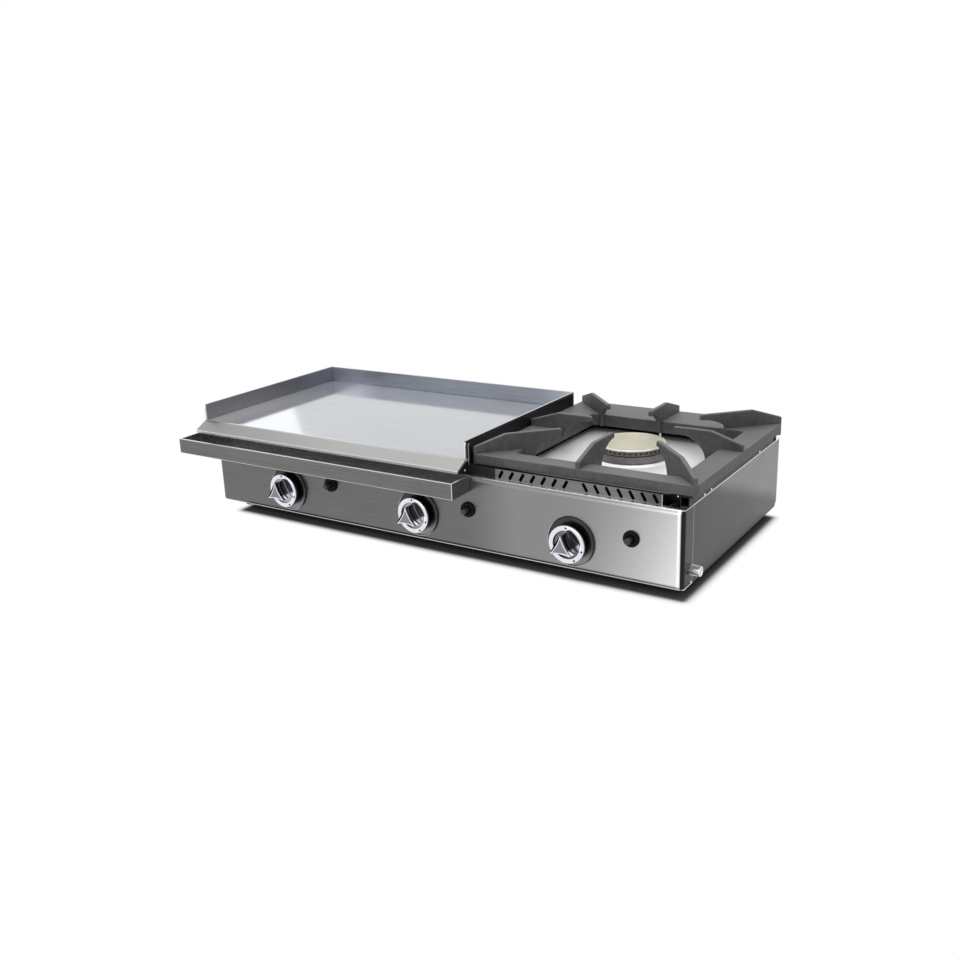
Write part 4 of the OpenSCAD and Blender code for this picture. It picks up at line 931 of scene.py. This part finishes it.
spark_white = brushed("spark_plug", (0.7, 0.69, 0.66), (0.85, 0.84, 0.8), 0.4, (90.0, 90.0, 90.0), tones=(
    ((0.02, 0.02, 0.02), lambda x, y, z: 1.0 - z.over(socket_top, socket_top + 0.0004)),), metallic=0.0)
spark_profile = [(r, h - spark_foot) for r, h in (
    (0.0, spark_foot), (0.0034, spark_foot), (0.0034, socket_top), (0.0019, 0.1580), (0.0018, 0.1664),
    (0.0012, 0.1674), (0.0, 0.1676))]
spark_spot = (hob[0] + 0.020, hob[1] + 0.076, spark_foot)
piece("hob_electrode_plug", stand(lathe(spark_profile, 32), spark_spot), "base", spark_white,
      ["hob_electrode"])


# Gas manifold: a zinc-plated steel pipe behind the panel. Its threaded end comes out of the right
# side, where a hexagonal locknut holds it, and takes the gas hose.

zinc = brushed("zinc_plate", (0.72, 0.72, 0.71), (0.88, 0.88, 0.87), 0.25, (500.0, 30.0, 500.0))
dress(zinc, "inlet_locknut", "fasteners")
pipe_low, pipe_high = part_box("gas_manifold")
wall_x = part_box("right_side_panel")[1][0]
length = pipe_high[0] - pipe_low[0]
inlet = wall_x - pipe_low[0]
bore_r, pipe_r, root_r, thread_r = 0.006, 0.008, 0.00745, 0.00833
pipe_profile = [(0.0, 0.0), (0.0068, 0.0), (pipe_r, 0.0012), (pipe_r, inlet - 0.002), (thread_r, inlet - 0.001)]
thread_pitch = 0.00134
turns = int((length - inlet - 0.003) / thread_pitch)
for i in range(turns):
    at = inlet + 0.001 + i * thread_pitch
    pipe_profile += [(thread_r, at + 0.0001), (root_r, at + 0.0006), (root_r, at + 0.0007), (thread_r, at + 0.0012)]
pipe_profile += [(thread_r, length - 0.0009), (0.0077, length), (0.0062, length), (bore_r, length - 0.0004),
                 (bore_r, 0.003), (0.0, 0.003)]
axis_y = (pipe_low[1] + pipe_high[1]) / 2
axis_z = (pipe_low[2] + pipe_high[2]) / 2
pipe = stand(lathe(pipe_profile, 48), (pipe_low[0], axis_y, axis_z), (1.0, 0.0, 0.0))
piece("gas_manifold_pipe", pipe, "base", zinc, ["gas_manifold"], smooth=30.0)


# Knobs: a chromed disc with a raised three-lobed grip on each tap stem, in front of a round steel
# bezel with a bright rim. A row of small raised dots marks the settings. The bezel's dark colour is a
# painted reflection and shadow of the knob, lighter below its middle, and each rim darkens towards
# its upper right as painted shade.

bezel_low, bezel_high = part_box("knob_bezels")
front = (0.0, -1.0, 0.0)
bezel_r = (bezel_high[2] - bezel_low[2]) / 2
knob_z = (bezel_high[2] + bezel_low[2]) / 2
panel_y = bezel_high[1]
polish = ((60.0, 60.0, 60.0), 0.04, 0.000004)
dot_black = moulded("dot_enamel", (0.008, 0.008, 0.009), (0.02, 0.02, 0.021), 0.3, 500.0, 0.00001, shine=0.3)
# Painted reflection and shadow: the bezel is dark above and lighter below its middle.
shaded_bezel_steel = brushed("bezel_painted_reflection", (0.04, 0.04, 0.042), (0.07, 0.07, 0.073), 0.3, *polish, tones=(
    ((0.24, 0.24, 0.245), lambda x, y, z: 1.0 - (z - knob_z).over(-0.030, -0.004)),))
knob_spots = []
for i in (1, 2, 3):
    low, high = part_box(f"knob_{i}")
    knob_spots.append(((low[0] + high[0]) / 2, panel_y, knob_z))
bezel_profile = [(0.006, 0.0), (bezel_r - 0.0018, 0.0), (bezel_r - 0.0018, 0.0018), (bezel_r - 0.0026, 0.0024),
                 (bezel_r - 0.0060, 0.0026), (0.006, 0.0022), (0.006, 0.0)]
rim_profile = [(bezel_r - 0.0017, 0.0), (bezel_r, 0.0), (bezel_r, 0.0022), (bezel_r - 0.0004, 0.0029),
               (bezel_r - 0.0011, 0.003), (bezel_r - 0.0017, 0.0025), (bezel_r - 0.0017, 0.0)]
piece("knob_bezel_discs", gather([stand(lathe(bezel_profile, 96), spot, front) for spot in knob_spots]), "base",
      shaded_bezel_steel, ["knob_bezels"])
for i, spot in enumerate(knob_spots, 1):
    cx, cz = spot[0], spot[2]
    # Painted shade: each rim darkens towards its upper right.
    rim_steel = brushed(f"bezel_rim_{i}", (0.5, 0.5, 0.5), (0.62, 0.62, 0.62), 0.22, *polish, tones=(
        ((0.06, 0.06, 0.06), lambda x, y, z: (x - cx + (z - cz)).over(-0.02, 0.015)),))
    piece(f"knob_bezel_rim_{i}", stand(lathe(rim_profile, 96), spot, front), "base", rim_steel)


def knob(spot):
    """A knob around its stem, drawn upright and then turned to the front."""
    r, back, face, grip = 0.032, 0.0075, 0.0195, 0.0395
    dish = face - 0.004
    disc = lathe([(0.0042, back), (r - 0.0034, back), (r - 0.003, back + 0.0004), (r - 0.003, back + 0.0022),
                  (r - 0.0004, back + 0.0026), (r, back + 0.0031), (r, face - 0.0028), (r - 0.0005, face - 0.0012),
                  (r - 0.0018, face - 0.0003), (r - 0.0065, face), (r - 0.0080, face - 0.0006), (r - 0.0094, dish),
                  (0.0042, dish), (0.0042, back)], 128)
    tip_r, waist_r = 0.0232, 0.0086
    outline = []
    for middle in (radians(30), radians(150), radians(270)):
        for i in range(-12, 13):
            t = 0.88 * i / 12
            away, along = tip_r / 2 - (tip_r / 2 - waist_r) * (1 - t * t), tip_r * sin(pi / 3) * t
            outline.append((away * cos(middle) - along * sin(middle), away * sin(middle) + along * cos(middle)))
    handle = extruded(outline, dish - 0.0005, grip, axis=2)
    fold(handle, lambda v: near(v.z, grip), 0.0009, 3)
    flat = max((f for f in handle.faces if f.normal.z > 0.99), key=lambda f: f.calc_area())
    bmesh.ops.inset_region(handle, faces=[flat], thickness=0.0014, depth=-0.0006)
    return stand(gather([disc, handle]), spot, front)


def knob_marks(spot):
    """The small raised black dots on a knob's ring and dish."""
    dots = []
    on_ring, in_dish = (0.0285, 0.0185), (0.0225, 0.0150)
    for clock, (away, foot) in ((0.0, on_ring), (0.0, in_dish), (105.0, on_ring), (150.0, on_ring)):
        dot = lathe([(0.0, 0.0), (0.0017, 0.0), (0.0017, 0.0013), (0.0013, 0.0017), (0.0, 0.0018)], 20)
        a = radians(clock)
        dots.append(stand(dot, (away * sin(a), away * cos(a), foot)))
    return stand(gather(dots), spot, front)


def knob_chrome(name, cx, cz, dish):
    """Chrome plate, clear on the ring. The dish takes a painted reflection, its tone set per knob, with a pale
    painted crescent of reflection towards its upper right; the grip's sides above its middle and the disc's side wall
    take painted shade; the grip's flat is grey, so a bright rim round it shows as a painted highlight.
    """
    def beyond(x, z, low, high):
        """Goes from 0 to 1 between two distances from the knob's axis."""
        return ((x - cx) * (x - cx) + (z - cz) * (z - cz)).over(low ** 2, high ** 2)

    def deep(y):
        """The distance in front of the panel."""
        return panel_y - y

    return brushed(name, (0.74, 0.74, 0.8), (0.84, 0.84, 0.9), 0.12, *polish, tones=(
        ((dish, dish, dish * 1.1), lambda x, y, z: (1.0 - beyond(x, z, 0.0232, 0.0238))
         * (1.0 - deep(y).over(0.0176, 0.0184))),
        ((0.42, 0.41, 0.38), lambda x, y, z: (x - cx + (z - cz)).band(0.017, 0.023, 0.003)
         * (1.0 - deep(y).over(0.0158, 0.0162)) * (1.0 - beyond(x, z, 0.0215, 0.0222))),
        ((0.05, 0.05, 0.06), lambda x, y, z: (z - cz).over(-0.006, -0.002)
         * deep(y).band(0.0170, 0.0372, 0.0006) * (1.0 - beyond(x, z, 0.0222, 0.0226))),
        ((0.25, 0.24, 0.27), lambda x, y, z: deep(y).band(0.0387, 0.0391, 0.0001)),
        ((0.03, 0.03, 0.04), lambda x, y, z: beyond(x, z, 0.0312, 0.0317)
         * (1.0 - deep(y).over(0.0160, 0.0172))),
    ))


# Each knob's dish takes its own painted reflection tone.
dish_reflection_tones = (0.4, 0.36, 0.16)
for i, (spot, dish) in enumerate(zip(knob_spots, dish_reflection_tones), 1):
    plated = knob_chrome(f"knob_chrome_{i}", spot[0], spot[2], dish)
    piece(f"knob_{i}_chromed", knob(spot), f"knob_{i}", plated, [f"knob_{i}"], smooth=35.0)
    piece(f"knob_{i}_dots", knob_marks(spot), f"knob_{i}", dot_black)


# Igniters: a round black plastic collar and barrel in the panel beside each knob, with a push
# button that strikes the spark.

plastic = moulded("igniter_plastic", (0.004, 0.004, 0.0042), (0.009, 0.009, 0.0095), 0.34, 800.0, 0.00002, shine=0.08)
button_plastic = moulded("button_plastic", (0.02, 0.02, 0.022), (0.045, 0.045, 0.048), 0.22, 800.0, 0.00002)
collar_profile = [(0.0052, -0.045), (0.009, -0.045), (0.009, 0.0), (0.0135, 0.0), (0.0135, 0.0024),
                  (0.0131, 0.0036), (0.0121, 0.0045), (0.0108, 0.005), (0.0072, 0.005), (0.0064, 0.0044),
                  (0.0056, 0.0036), (0.0052, 0.003), (0.0052, -0.045)]
button_profile = [(0.0, -0.012), (0.005, -0.012), (0.005, 0.0162), (0.0047, 0.0173), (0.0040, 0.0179),
                  (0.0028, 0.018), (0.0, 0.018)]
for i in (1, 2, 3):
    low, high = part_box(f"igniter_body_{i}")
    spot = ((low[0] + high[0]) / 2, panel_y, (low[2] + high[2]) / 2)
    piece(f"igniter_{i}_collar", stand(lathe(collar_profile, 72), spot, front), "base", plastic,
          [f"igniter_body_{i}"])
    piece(f"igniter_{i}_plunger", stand(lathe(button_profile, 48), spot, front), f"button_{i}", button_plastic,
          [f"igniter_button_{i}"])
